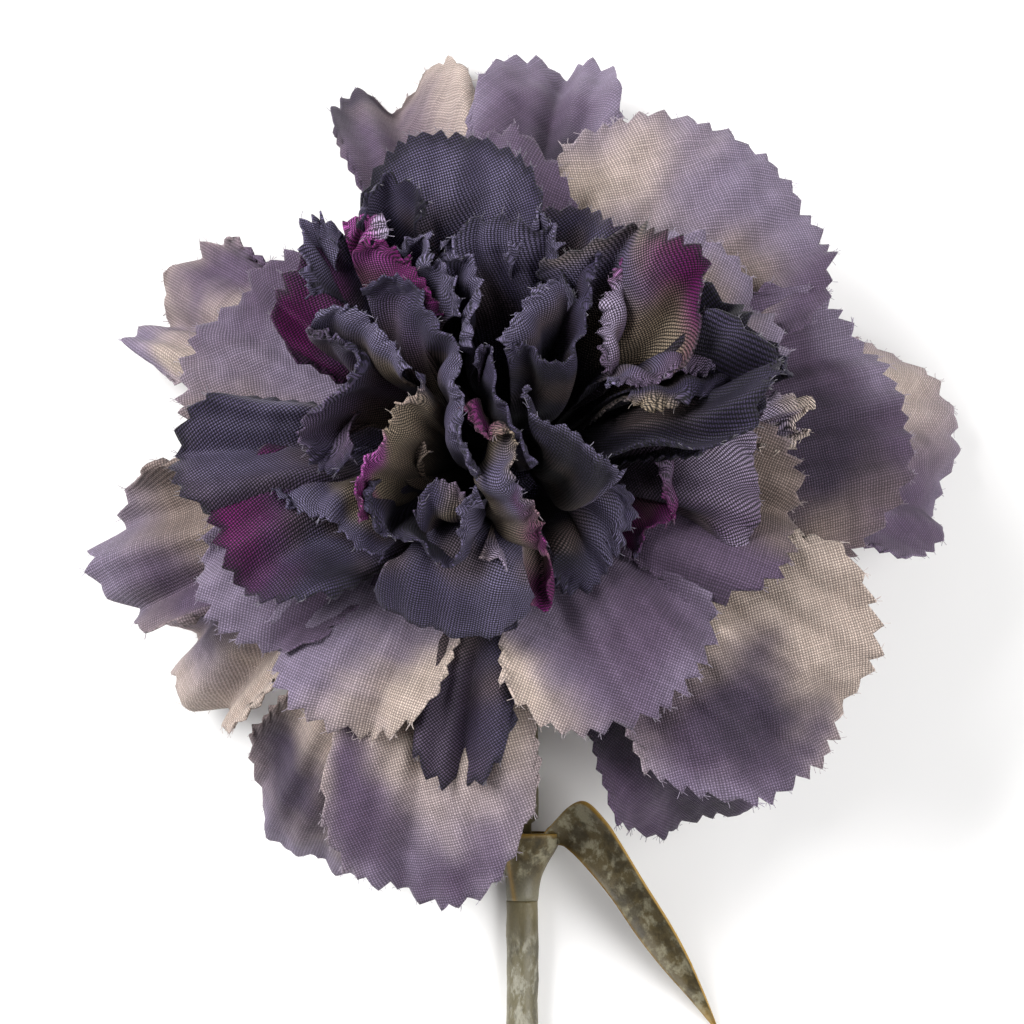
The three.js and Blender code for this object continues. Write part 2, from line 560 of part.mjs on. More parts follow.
function makeStem() {
  const upperRadius = stem.radius - 0.05;
  const outline = [
    [stem.cutEnd, stem.radius - 0.15],
    [stem.cutEnd + 0.3, stem.radius],
    [seat.from - 0.1, stem.radius],
    [seat.from, seat.radius],
    [seat.to, seat.radius],
    [seat.to + 0.6, upperRadius],
  ];
  const body = stemTube(outline, upperRadius, peg.flangeTop - 0.5, 16);
  const flangeFoot = peg.flangeTop - peg.flangeDepth;
  const flange = axisCylinder(flangeFoot, peg.flangeTop, peg.flangeRadius - 0.5, peg.flangeRadius, 20);
  const pin = axisCylinder(0, peg.headBase + 0.3, peg.radius, peg.radius, 12);
  const head = axisCylinder(peg.headBase, peg.headTop, peg.headRadius, peg.radius * 0.6, 12);
  const bore = stemTube([[stem.cutEnd - 1, wire.boreRadius]], wire.boreRadius, calyx.foot + 4, wire.sides);
  return Manifold.union([body, flange, pin, head]).subtract(bore);
}

function makeWire() {
  return stemTube([[stem.cutEnd + wire.inset, wire.radius]], wire.radius, calyx.foot + 3.6, wire.sides);
}

// The cup under the bloom, with pointed teeth standing round the lowest rosette.
function makeCalyx() {
  const profile = [
    [calyx.hole, calyx.foot],
    [3.2, calyx.foot],
    [4.2, calyx.foot + 1.2],
    [4.9, calyx.foot + 5],
    [5.2, calyx.toothRoot],
    [5.6, calyx.toothTop],
    [5.0, calyx.toothTop],
    [4.55, calyx.toothRoot],
    [4.2, calyx.foot + 5],
    [3.5, calyx.foot + 1.8],
    [calyx.hole, calyx.foot + 1.4],
    [calyx.hole, calyx.foot],
  ];
  const points = profile.map(([radius, height]) => new THREE.Vector2(radius, height));
  const cup = solidFrom(new THREE.LatheGeometry(points, calyx.sides).rotateX(90 * degrees));
  const vee = new THREE.Shape();
  vee.moveTo(-calyx.toothGap, calyx.toothTop + 0.6);
  vee.lineTo(0, calyx.toothRoot);
  vee.lineTo(calyx.toothGap, calyx.toothTop + 0.6);
  vee.closePath();
  const bar = new THREE.ExtrudeGeometry(vee, { depth: 6, bevelEnabled: false });
  const notch = solidFrom(bar.rotateX(90 * degrees).translate(0, -2.5, 0));
  const notches = Array.from({ length: calyx.teeth }, (_, i) =>
    notch.rotate([0, 0, (i * 360) / calyx.teeth + calyx.firstTooth]),
  );
  return cup.subtract(Manifold.union(notches)).transform(bloomPose.elements);
}

// The sleeve round the stem: [along Y, centre X, centre Z, half width, half height], outside and bore.
const sleeveOutside = [
  [-46.3, 1.15, 1.8, 1.75, 1.75],
  [-44.2, 1.25, 1.95, 1.95, 1.9],
  [-42.4, 1.45, 2.3, 2.5, 2.2],
  [-40.6, 1.8, 2.8, 3.2, 2.7],
  [-39.0, 2.1, 3.1, 3.5, 3.0],
];
const sleeveBore = [
  [-46.4, 1.15, 1.77, 1.38, 1.38],
  [-43.6, 1.15, 1.77, 1.4, 1.4],
  [-42.4, 1.4, 2.2, 2.05, 1.85],
  [-40.6, 1.75, 2.75, 2.7, 2.3],
  [-38.9, 1.9, 2.9, 2.9, 2.45],
];

// Stations along the blade: lower edge and upper edge, each [x, y, z].
const bladeStations = [
  [[5.1, -39.9, 3.6], [3.6, -38.7, 5.5]],
  [[5.9, -40.2, 4.6], [5.3, -36.9, 6.6]],
  [[6.6, -40.9, 5.6], [7.7, -35.2, 7.6]],
  [[7.9, -42.3, 6.1], [10.2, -37.3, 7.8]],
  [[9.5, -44.2, 6.0], [12.1, -40.1, 7.3]],
  [[11.2, -46.4, 5.4], [14.5, -44.1, 6.4]],
  [[13.9, -50.4, 4.1], [17.6, -49.1, 4.8]],
  [[16.8, -54.1, 2.8], [19.7, -53.1, 3.3]],
  [[19.6, -57.2, 1.7], [21.4, -57.1, 1.9]],
  [[22.3, -60.6, 0.7], [22.8, -60.6, 0.7]],
];
const blade = { thickness: 0.7, rim: 0.95, channel: 0.5 };

function makeLeaf() {
  const oval = ([y, x, z, halfWidth, halfHeight]) =>
    Array.from({ length: 16 }, (_, i) => {
      const angle = ((i + 0.5) * 2 * Math.PI) / 16;
      return new THREE.Vector3(x + halfWidth * Math.cos(angle), y, z + halfHeight * Math.sin(angle));
    });
  const rings = bladeStations.map(([low, high], j) => {
    const from = new THREE.Vector3(...low);
    const to = new THREE.Vector3(...high);
    const width = from.distanceTo(to);
    const before = new THREE.Vector3(...bladeStations[Math.max(0, j - 1)][0]);
    const after = new THREE.Vector3(...bladeStations[Math.min(bladeStations.length - 1, j + 1)][0]);
    const normal = to.clone().sub(from).cross(after.sub(before)).normalize();
    if (normal.z < 0) normal.negate();
    const spots = [0, 0.14, 0.5, 0.86, 1];
    const thick = [0.7, 1, 1, 1, 0.7].map((k, i) => (k * (i === 2 ? blade.thickness : blade.rim)) / 2);
    const narrow = Math.min(1, width / 2.5);
    const dip = [0, 0.3, 1, 0.3, 0].map((k) => -k * blade.channel * narrow);
    const upper = spots.map((t, i) => from.clone().lerp(to, t).addScaledVector(normal, dip[i] + thick[i]));
    const lower = spots.map((t, i) => from.clone().lerp(to, t).addScaledVector(normal, dip[i] - thick[i]));
    return [...upper, ...lower.reverse()];
  });
  const sleeve = loft(sleeveOutside.map(oval)).subtract(loft(sleeveBore.map(oval)));
  const bore = loft([[-47, 1.15, 1.77, 1.38, 1.38], [-43.5, 1.15, 1.77, 1.38, 1.38]].map(oval));
  return sleeve.subtract(bore).add(loft(rings).subtract(loft(sleeveBore.map(oval))));
}

const aboveTable = solidFrom(new THREE.BoxGeometry(400, 600, 200).translate(0, 0, 100));

// The rosettes, from the heart outwards: each is trimmed clear of those made before it.
const rosettes = new Map();
const kept = [];
for (let tier = tiers.length; tier >= 1; tier--) {
  const own = [...petals, ...ruffles].filter((p) => p.tier === tier);
  const blades = own.map((p) => petalSolid(p, 0));
  const hole = axisCylinder(-15, 15, bloom.hubHole, bloom.hubHole, 12);
  let rosette = Manifold.union([hubSolid(tier, 0), ...blades]);
  rosette = rosette.subtract(hole);
  if (kept.length) rosette = rosette.subtract(Manifold.union(kept));
  rosette = mainBody(rosette.intersect(aboveTable)).simplify(0.03);
  rosettes.set(tier, rosette);
  kept.push(hubSolid(tier, cloth.gap - 0.02));
  own.forEach((p) => kept.push(petalSolid(p, cloth.gap)));
  kept.push(rosette);
}

// Node, solid, colour, roughness and metalness.
const stemSolid = makeStem();
const leafSolid = makeLeaf();
const pieces = [
  ["stem", stemSolid, "#8b8870", 0.6, 0],
  ["stem_wire", makeWire(), "#8c8c8e", 0.4, 1],
  ["leaf", leafSolid, "#7d7658", 0.55, 0],
  ["calyx", makeCalyx(), "#767a58", 0.6, 0],
  ["petals_tier_1", rosettes.get(1), "#b3a4a3", 0.85, 0],
  ["petals_tier_2", rosettes.get(2), "#9a8fa3", 0.85, 0],
  ["petals_tier_3", rosettes.get(3), "#94889c", 0.85, 0],
  ["petals_tier_4", rosettes.get(4), "#555468", 0.85, 0],
  ["petals_tier_5", rosettes.get(5), "#4b4a60", 0.85, 0],
  ["petals_tier_6", rosettes.get(6), "#4a485e", 0.85, 0],
  ["petals_tier_7", rosettes.get(7), "#454359", 0.85, 0],
  ["petals_tier_8", rosettes.get(8), "#4d4a5c", 0.85, 0],
];

// The finished group stands on Z = 0 with its box centred on the origin.
const boxes = pieces.map(([, solid]) => solid.boundingBox());
const low = [0, 1, 2].map((k) => Math.min(...boxes.map((b) => b.min[k])));
const high = [0, 1].map((k) => Math.max(...boxes.map((b) => b.max[k])));
const shift = [-(low[0] + high[0]) / 2, -(low[1] + high[1]) / 2, -low[2]];

function geometryOf(solid) {
  const made = solid.getMesh();
  const geometry = new THREE.BufferGeometry();
  geometry.setAttribute("position", new THREE.BufferAttribute(new Float32Array(made.vertProperties), 3));
  geometry.setIndex(new THREE.BufferAttribute(new Uint32Array(made.triVerts), 1));
  return geometry;
}

// Whether an edge of a solid is shared by more than two of its faces.
function pinched(solid) {
  const corners = mergeVertices(geometryOf(solid), 1e-5).index.array;
  const uses = new Map();
  for (let i = 0; i < corners.length; i += 3) {
    for (const [from, to] of [[0, 1], [1, 2], [2, 0]]) {
      const edge = [corners[i + from], corners[i + to]].sort().join();
      uses.set(edge, (uses.get(edge) ?? 0) + 1);
    }
  }
  return Math.max(...uses.values()) > 2;
}

// Joins corners closer than a thousandth of a millimetre and keeps the main body; where that leaves two
// bodies or a pinched edge, it starts again from a slightly plainer solid.
function settled(solid) {
  for (let tolerance = 0; tolerance < cloth.gap / 2; tolerance += 0.01) {
    const body = mainBody(solidFrom(geometryOf(tolerance ? solid.simplify(tolerance) : solid)));
    const reread = solidFrom(geometryOf(body));
    if (reread.decompose().length === 1 && !pinched(reread)) return body;
  }
  throw new Error("a piece stays pinched");
}

const group = new THREE.Group();
group.name = "artificial_carnation";
for (const [name, solid, color, roughness, metalness] of pieces) {
  const geometry = geometryOf(settled(solid.translate(shift)));
  geometry.computeVertexNormals();
  const mesh = new THREE.Mesh(geometry, new THREE.MeshStandardMaterial({ color, roughness, metalness }));
  mesh.name = name;
  group.add(mesh);
}

export default group;
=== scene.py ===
import math

import bpy
import numpy as np
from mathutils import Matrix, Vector


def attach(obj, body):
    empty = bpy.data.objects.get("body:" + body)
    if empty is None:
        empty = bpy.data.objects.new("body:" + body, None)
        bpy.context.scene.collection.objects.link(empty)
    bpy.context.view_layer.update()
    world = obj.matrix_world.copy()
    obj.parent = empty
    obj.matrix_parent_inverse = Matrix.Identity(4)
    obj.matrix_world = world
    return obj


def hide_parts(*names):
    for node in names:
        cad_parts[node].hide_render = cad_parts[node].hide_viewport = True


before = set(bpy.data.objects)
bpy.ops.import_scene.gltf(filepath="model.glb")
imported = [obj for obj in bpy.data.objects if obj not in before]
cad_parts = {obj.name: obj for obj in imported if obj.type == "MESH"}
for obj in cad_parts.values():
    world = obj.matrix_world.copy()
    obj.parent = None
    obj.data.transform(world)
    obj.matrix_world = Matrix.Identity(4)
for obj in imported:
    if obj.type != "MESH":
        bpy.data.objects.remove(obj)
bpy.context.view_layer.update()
mm = 0.001

# The design's millimetres: Y runs up the stem and Z up from the table, with the bloom's middle at X = Y = 0.
stemFacts = {
    "radius": 1.8, "cutEnd": -165.0, "axisX": 1.15, "axisZ": 1.765, "kneeStart": -14.5, "kneeReach": 6.5,
    "seatFrom": -46.5, "seatTo": -38.0, "seatRadius": 1.0, "bore": 0.65, "wire": 0.35,
}


def findShift():
    # the stem's cut end says how far the finished part was moved to centre its box
    spots = np.array([v.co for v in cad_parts["stem"].data.vertices]) / mm
    end = spots[spots[:, 1] < spots[:, 1].min() + 0.05]
    middle = (end[:, 0].min() + end[:, 0].max()) / 2
    return np.array([middle - stemFacts["axisX"], spots[:, 1].min() - stemFacts["cutEnd"], 0.0])


designShift = findShift()
print("design shift", designShift.round(3))

view = {
    "distance": 620.0, "focusHeight": 45.0, "mmPerPixel": 0.1035, "offsetY": -3.5, "imageSize": 1024,
    "sensor": 36.0, "nearest": 0.01, "furthest": 20.0,
}


def makeCamera():
    data = bpy.data.cameras.new("camera")
    data.sensor_width = view["sensor"]
    data.lens = view["sensor"] * view["distance"] / (view["imageSize"] * view["mmPerPixel"])
    data.clip_start, data.clip_end = view["nearest"], view["furthest"]
    camera = bpy.data.objects.new("camera", data)
    camera.location = Vector(
        (designShift[0], designShift[1] + view["offsetY"], view["distance"] + view["focusHeight"])) * mm
    bpy.context.scene.collection.objects.link(camera)
    bpy.context.scene.camera = camera


makeCamera()
print("camera above the bloom")


def ease(t):
    t = np.clip(t, 0, 1)
    return t * t * (3 - 2 * t)


def spline(points, count):
    # a smooth row of count points through given ones
    return splineAt(points, np.linspace(0, len(points) - 1, count))


def splineAt(points, spots):
    points = np.array(points, float)
    padded = np.vstack([2 * points[0] - points[1], points, 2 * points[-1] - points[-2]])
    at = np.minimum(spots.astype(int), len(points) - 2)
    t = (spots - at)[..., None]
    a, b, c, d = (padded[at + k] for k in range(4))
    squared, cubed = 2 * a - 5 * b + 4 * c - d, 3 * b - a - 3 * c + d
    return 0.5 * (2 * b + (c - a) * t + squared * t ** 2 + cubed * t ** 3)


driftFacts = {"waves": 6, "shortest": 0.5, "longest": 1.4, "level": 3.2}


def drift(x, y, seed, size):
    # soft wandering between about -1 and 1, for dye edges and wrinkles
    rng = np.random.default_rng(seed)
    total = np.zeros(np.broadcast(x, y).shape)
    for _ in range(driftFacts["waves"]):
        turn, phase = rng.uniform(0, 2 * math.pi, 2)
        wave = size * rng.uniform(driftFacts["shortest"], driftFacts["longest"])
        total += np.sin(2 * math.pi * (x * math.cos(turn) + y * math.sin(turn)) / wave + phase)
    return total / driftFacts["level"]


def addMesh(name, points, faces, material):
    # points in the design's millimetres; quads or triangles as index rows
    mesh = bpy.data.meshes.new(name)
    spots = (np.asarray(points) + designShift) * mm
    faces = [np.asarray(f, int) for f in (faces if isinstance(faces, list) else [faces])]
    mesh.vertices.add(len(spots))
    mesh.vertices.foreach_set("co", spots.astype(np.float32).ravel())
    corners = np.concatenate([f.ravel() for f in faces])
    sizes = np.concatenate([np.full(len(f), f.shape[1]) for f in faces])
    mesh.loops.add(len(corners))
    mesh.loops.foreach_set("vertex_index", corners)
    mesh.polygons.add(len(sizes))
    mesh.polygons.foreach_set("loop_start", np.concatenate([[0], np.cumsum(sizes)[:-1]]))
    mesh.polygons.foreach_set("use_smooth", np.ones(len(sizes), bool))
    mesh.update(calc_edges=True)
    mesh.validate()
    piece = bpy.data.objects.new(name, mesh)
    bpy.context.scene.collection.objects.link(piece)
    mesh.materials.append(material)
    return piece


def addPiece(piece, node):
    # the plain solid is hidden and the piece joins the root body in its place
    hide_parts(node)
    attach(piece, "root")


def addPointValues(piece, name, values, kind="FLOAT"):
    layer = piece.data.attributes.new(name, kind, "POINT")
    key = {"FLOAT": "value", "FLOAT_COLOR": "color", "FLOAT_VECTOR": "vector"}[kind]
    layer.data.foreach_set(key, np.asarray(values, np.float32).ravel())


def addClothMap(piece, flat):
    # flat place of each point in the uncut cloth, in millimetres
    layer = piece.data.uv_layers.new(name="clothFlat")
    corners = np.empty(len(piece.data.loops), int)
    piece.data.loops.foreach_get("vertex_index", corners)
    layer.data.foreach_set("uv", flat[corners].astype(np.float32).ravel())


def link(tree, source, target):
    tree.links.new(source, target)


def put(tree, kind, inputs=None, **settings):
    node = tree.nodes.new(kind)
    for key, value in settings.items():
        setattr(node, key, value)
    for key, value in (inputs or {}).items():
        socket = node.inputs[key]
        if isinstance(value, bpy.types.NodeSocket):
            link(tree, value, socket)
        else:
            socket.default_value = value
    return node


def calc(tree, operation, *values):
    return put(tree, "ShaderNodeMath", dict(enumerate(values)), operation=operation).outputs[0]


def remap(tree, value, fromLow, fromHigh, toLow, toHigh, kind="LINEAR"):
    names = {"Value": value, "From Min": fromLow, "From Max": fromHigh, "To Min": toLow, "To Max": toHigh}
    return put(tree, "ShaderNodeMapRange", names, interpolation_type=kind).outputs["Result"]


def noise(tree, place, scale, detail=2.0, **settings):
    names = {"Vector": place, "Scale": scale, "Detail": detail}
    return put(tree, "ShaderNodeTexNoise", names, **settings).outputs


def scaled(tree, vector, factor):
    return put(tree, "ShaderNodeVectorMath", {0: vector, 3: factor}, operation="SCALE").outputs[0]


def mixTone(tree, factor, first, second):
    return put(tree, "ShaderNodeMix", {0: factor, 6: first, 7: second}, data_type="RGBA").outputs[2]


def readAttribute(tree, name):
    return put(tree, "ShaderNodeAttribute", attribute_name=name).outputs


def startGroup(name, inputs, outputs):
    tree = bpy.data.node_groups.new(name, "ShaderNodeTree")
    for label, kind, value in inputs:
        socket = tree.interface.new_socket(label, in_out="INPUT", socket_type="NodeSocket" + kind)
        if value is not None:
            socket.default_value = value
    for label, kind in outputs:
        tree.interface.new_socket(label, in_out="OUTPUT", socket_type="NodeSocket" + kind)
    return tree, tree.nodes.new("NodeGroupInput").outputs, tree.nodes.new("NodeGroupOutput").inputs


def colour(code, gain=1.0):
    # a listed #rrggbb as linear light
    parts = [int(code[i:i + 2], 16) / 255 for i in (1, 3, 5)]
    linear = [c / 12.92 if c < 0.04045 else ((c + 0.055) / 1.055) ** 2.4 for c in parts]
    return (*[c * gain for c in linear], 1.0)


weaveFacts = {
    "drift": 0.12, "roundness": 0.7, "warpSwing": 0.42, "warpLevel": 0.5, "weftSwing": -0.4,
    "weftLevel": 0.56, "shadeFrom": 0.38, "shadeTo": 0.92, "weftOffset": 517.0,
}


def makeWeaveGroup():
    # plain weave of round threads: one over, one under, each thread with its own tone
    facts = weaveFacts
    tree, given, result = startGroup(
        "plainWeave",
        [("Flat", "Vector", None), ("Thread", "Float", 0.31), ("Wander", "Float", 0.25),
         ("Gap Shade", "Float", 0.5)],
        [("Height", "Float"), ("Shade", "Float"), ("Thread Tone", "Float")])
    drifted = noise(tree, given["Flat"], facts["drift"], noise_dimensions="2D")["Color"]
    offset = put(tree, "ShaderNodeVectorMath", {0: drifted, 1: (0.5, 0.5, 0.5)}, operation="SUBTRACT")
    moved = scaled(tree, offset.outputs[0], given["Wander"])
    place = put(tree, "ShaderNodeVectorMath", {0: given["Flat"], 1: moved}, operation="ADD").outputs[0]
    threads = scaled(tree, place, calc(tree, "DIVIDE", 1.0, given["Thread"]))
    axes = put(tree, "ShaderNodeSeparateXYZ", {0: threads})
    x, y = axes.outputs[0], axes.outputs[1]
    waveX = calc(tree, "SINE", calc(tree, "MULTIPLY", x, math.pi))
    waveY = calc(tree, "SINE", calc(tree, "MULTIPLY", y, math.pi))
    over = calc(tree, "MULTIPLY", waveX, waveY)

    def threadHeight(wave, swing, level):
        profile = calc(tree, "POWER", calc(tree, "ABSOLUTE", wave), facts["roundness"])
        return calc(tree, "MULTIPLY", profile, calc(tree, "MULTIPLY_ADD", over, swing, level))

    warp = threadHeight(waveX, facts["warpSwing"], facts["warpLevel"])
    weft = threadHeight(waveY, facts["weftSwing"], facts["weftLevel"])
    height = calc(tree, "MAXIMUM", warp, weft)
    warpNumber = calc(tree, "FLOOR", x)
    weftNumber = calc(tree, "ADD", calc(tree, "FLOOR", y), facts["weftOffset"])
    warpTone = put(tree, "ShaderNodeTexWhiteNoise", {"W": warpNumber}, noise_dimensions="1D").outputs[0]
    weftTone = put(tree, "ShaderNodeTexWhiteNoise", {"W": weftNumber}, noise_dimensions="1D").outputs[0]
    onTop = calc(tree, "GREATER_THAN", warp, weft)
    tone = put(tree, "ShaderNodeMix", {0: onTop, 2: weftTone, 3: warpTone}, data_type="FLOAT")
    # painted shade: the colour goes darker where the threads dip into the gaps between them
    shade = remap(tree, height, facts["shadeFrom"], facts["shadeTo"], given["Gap Shade"], 1.0, "SMOOTHSTEP")
    link(tree, height, result["Height"])
    link(tree, shade, result["Shade"])
    link(tree, tone.outputs[0], result["Thread Tone"])
    return tree


mottleFacts = {"detail": 6.0, "roughness": 0.68, "distortion": 0.1, "grain": 9.0, "grainDetail": 3.0}


def makeMottleGroup():
    # uneven powder and stain on moulded plastic
    tree, given, result = startGroup(
        "mottle",
        [("Place", "Vector", None), ("Size", "Float", 300.0), ("Low", "Float", 0.4), ("High", "Float", 0.6)],
        [("Mask", "Float"), ("Grain", "Float")])
    big = put(tree, "ShaderNodeTexNoise", {
        "Vector": given["Place"], "Scale": given["Size"], "Detail": mottleFacts["detail"],
        "Roughness": mottleFacts["roughness"], "Distortion": mottleFacts["distortion"]}).outputs[0]
    grainSize = calc(tree, "MULTIPLY", given["Size"], mottleFacts["grain"])
    fine = noise(tree, given["Place"], grainSize, mottleFacts["grainDetail"])
    mask = remap(tree, big, given["Low"], given["High"], 0.0, 1.0, "SMOOTHSTEP")
    link(tree, mask, result["Mask"])
    link(tree, fine[0], result["Grain"])
    return tree


weaveGroup = makeWeaveGroup()
mottleGroup = makeMottleGroup()


def startMaterial(name):
    material = bpy.data.materials.new(name)
    material.use_nodes = True
    tree = material.node_tree
    return material, tree, tree.nodes["Principled BSDF"]


def useGroup(tree, group, inputs):
    return put(tree, "ShaderNodeGroup", inputs, node_tree=group).outputs


clothLook = {
    "threadWidth": 0.28, "bumpHeight": 0.11, "bump": 0.9, "fleck": 0.16, "blotch": 0.09, "blotchSize": 0.35,
    "frayHighlightGain": 1.35, "frayHighlightSize": 2.2, "frayHighlightShare": 0.6, "valley": 0.15, "specular": 0.25,
    "sheenRoughness": 0.4, "glow": 0.12, "glowDepth": (0.0006, 0.0005, 0.0005),
}
clothFinishes = {
    "cloth_cream": {"name": "clothCream", "roughness": 0.66, "sheen": 0.07, "gapShade": 0.46, "gain": 1.1},
    "cloth_lilac": {"name": "clothLilac", "roughness": 0.64, "sheen": 0.07, "gapShade": 0.38, "gain": 1.04},
    "cloth_slate": {"name": "clothSlate", "roughness": 0.56, "sheen": 0.03, "gapShade": 0.05, "gain": 1.6},
}


def makeClothMaterial(finish):
    look = clothLook
    material, tree, shader = startMaterial(finish["name"])
    flat = put(tree, "ShaderNodeUVMap", uv_map="clothFlat").outputs[0]
    weave = useGroup(tree, weaveGroup, {
        "Flat": flat, "Thread": look["threadWidth"], "Gap Shade": finish["gapShade"]})
    # this attribute holds the cloth's dye and, on the inner tiers, painted shade toward the roots
    dyeAndShade = readAttribute(tree, "dyeAndShade")["Color"]
    rim = readAttribute(tree, "rim")["Fac"]
    fleck = remap(tree, weave["Thread Tone"], 0.0, 1.0, 1 - look["fleck"], 1 + look["fleck"] * 0.7)
    cloud = noise(tree, flat, look["blotchSize"], 4.0, noise_dimensions="2D")[0]
    blotch = remap(tree, cloud, 0.3, 0.7, 1 - look["blotch"], 1 + look["blotch"])
    uneven = calc(tree, "MULTIPLY", fleck, blotch)
    factor = calc(tree, "MULTIPLY", calc(tree, "MULTIPLY", uneven, weave["Shade"]), finish["gain"])
    # loose threads at the cut edge are paler: partly their own fibre, partly a painted highlight where they
    # catch the light
    frayHighlightNoise = noise(tree, flat, look["frayHighlightSize"], noise_dimensions="2D")[0]
    nearRim = remap(tree, rim, 0.95, 1.0, 0.0, 1.0)
    frayHighlight = calc(tree, "MULTIPLY", nearRim, remap(tree, frayHighlightNoise, 0.5, 0.7, 0.0, look["frayHighlightShare"]))
    tone = mixTone(tree, frayHighlight, scaled(tree, dyeAndShade, factor), scaled(tree, dyeAndShade, look["frayHighlightGain"]))
    link(tree, tone, shader.inputs["Base Color"])
    bump = put(tree, "ShaderNodeBump", {
        "Height": weave["Height"], "Distance": look["bumpHeight"] * mm, "Strength": look["bump"]})
    link(tree, bump.outputs[0], shader.inputs["Normal"])
    smooth, rough = finish["roughness"], finish["roughness"] + look["valley"]
    link(tree, remap(tree, weave["Height"], 0.2, 0.9, rough, smooth), shader.inputs["Roughness"])
    shader.inputs["Specular IOR Level"].default_value = look["specular"]
    shader.inputs["Sheen Weight"].default_value = finish["sheen"]
    shader.inputs["Sheen Roughness"].default_value = look["sheenRoughness"]
    shader.inputs["Subsurface Weight"].default_value = look["glow"]
    shader.inputs["Subsurface Radius"].default_value = look["glowDepth"]
    shader.inputs["Subsurface Scale"].default_value = 1.0
    return material


threadLook = {"pale": "#b5aebb", "paleShare": 0.35, "patchSize": 900.0, "roughness": 0.6, "sheen": 0.3}


def makeThreadMaterial():
    material, tree, shader = startMaterial("frayedThread")
    dyeAndShade = readAttribute(tree, "dyeAndShade")["Color"]
    place = put(tree, "ShaderNodeTexCoord").outputs["Object"]
    patches = noise(tree, place, threadLook["patchSize"])[0]
    share = remap(tree, patches, 0.35, 0.65, 0.0, threadLook["paleShare"])
    link(tree, mixTone(tree, share, dyeAndShade, colour(threadLook["pale"])), shader.inputs["Base Color"])
    shader.inputs["Roughness"].default_value = threadLook["roughness"]
    shader.inputs["Sheen Weight"].default_value = threadLook["sheen"]
    return material


clothMaterials = {slot: makeClothMaterial(finish) for slot, finish in clothFinishes.items()}
threadMaterial = makeThreadMaterial()
print("cloth materials ready")


bloom = {
    "hubHeight": 23.5, "tiltUp": 11, "tiltLeft": 5, "hubStep": 1.3, "hubHole": 1.2, "rimRounding": 0.24,
    "crease": 0.93, "knee": 0.68,
}
cloth = {
    "thickness": 0.22, "floor": 0.14, "floorSoftness": 0.5, "fadeIn": 6, "clawClear": 4,
    "tierTurn": 37, "ruffleTurn": 47,
}
pinking = {
    "pitch": 1.9, "depth": 0.66, "mean": 0.9, "spread": 0.5, "widths": (0.55, 1.45), "cuts": 4,
    "sideDepth": 0.4, "sideHeights": (0.4, 1.3), "sideMost": 1.4, "rowGap": 0.69, "ruffleRows": 40,
    "rimBand": 0.09, "slack": 1.15, "rowPower": 0.9,
}
wrinkles = {
    "radial": 0.32, "radialWave": 4.2, "broad": 0.55, "broadWave": 16.0, "fine": 0.08, "fineWave": 2.6,
}
# the brown band's settings paint the inner petals' beige base darker, partly as painted shade
dyeAndShading = {
    "reach": 1.2, "softness": 1.4, "wander": 1.4, "wanderSize": 13.0, "small": 0.5, "smallSize": 4.5,
    "heart": 0.96, "heartFrom": 0.2, "heartOver": 0.5, "baseAndShade": 0.5, "baseAndShadeSize": 11.0, "baseAndShadeLevel": 0.35,
    "baseAndShadeFrom": 0.3, "baseAndShadeTo": 0.66, "baseAndShadeOver": 0.2, "rim": 0.75, "rimInset": 0.15, "rimWander": 0.25,
}
# the near-black #0d0a0e is painted shade, not a dye
dyeAndShadeTones = {
    "cream": "#c4b2a7", "beige": "#8e7d76", "sand": "#7a6c5c", "lilac": "#887b92", "mauve": "#604f67",
    "plum": "#45394c", "dusk": "#352a3c", "steel": "#5a536d", "slate": "#3c354e", "navy": "#1a1526",
    "heart": "#0d0a0e", "baseAndShade": "#5a4a43", "magenta": "#5a0c4e", "rose": "#8a4282",
}
tiers = {
    1: dict(rise=(10, -70), root=5.0, hub=5.8, cup=0.25, flute=1.6, waves=1.0, slot="cloth_cream"),
    2: dict(rise=(30, -36), root=5.0, hub=5.8, cup=0.15, flute=1.6, waves=1.1, slot="cloth_lilac"),
    3: dict(rise=(46, -22), root=5.0, hub=5.6, cup=0.25, flute=1.8, waves=1.2, slot="cloth_lilac"),
    4: dict(rise=(60, 4), root=5.0, hub=5.3, cup=0.55, flute=2.2, waves=1.3, slot="cloth_slate"),
    5: dict(rise=(70, 30), root=4.4, hub=4.7, cup=0.7, flute=2.4, waves=1.4, slot="cloth_slate"),
    6: dict(root=3.5, hub=3.8, slot="cloth_slate"),
    7: dict(root=2.6, hub=2.9, slot="cloth_slate"),
    8: dict(root=1.7, hub=2.0, slot="cloth_slate"),
}
darkRim = ("navy", 0.9)
# Long waves that push the dome's petals sideways: direction, wavelength, height and phase of each.
crumples = [(30, 30, 2.4, 0.4), (120, 26, 2.2, 1.9), (75, 17, 1.4, 0.6), (165, 15, 1.3, 2.8)]
crumpleRange = {
    "flatFrom": 12, "flatOver": 22, "flatShare": 0.65, "growFrom": 11, "growOver": 22, "slant": 0.03,
}


def petal(tier, azimuth, length, width, phase, dyeAndShade, **more):
    facts = dict(twist=0, fold=0, teeth=1.0, heart=1.0, rounding=bloom["rimRounding"],
                 edge=darkRim if tier > 3 else None)
    return {**facts, **tiers[tier], "tier": tier, "azimuth": azimuth, "length": length, "width": width,
            "phase": phase, "dyeAndShade": dyeAndShade, **more}
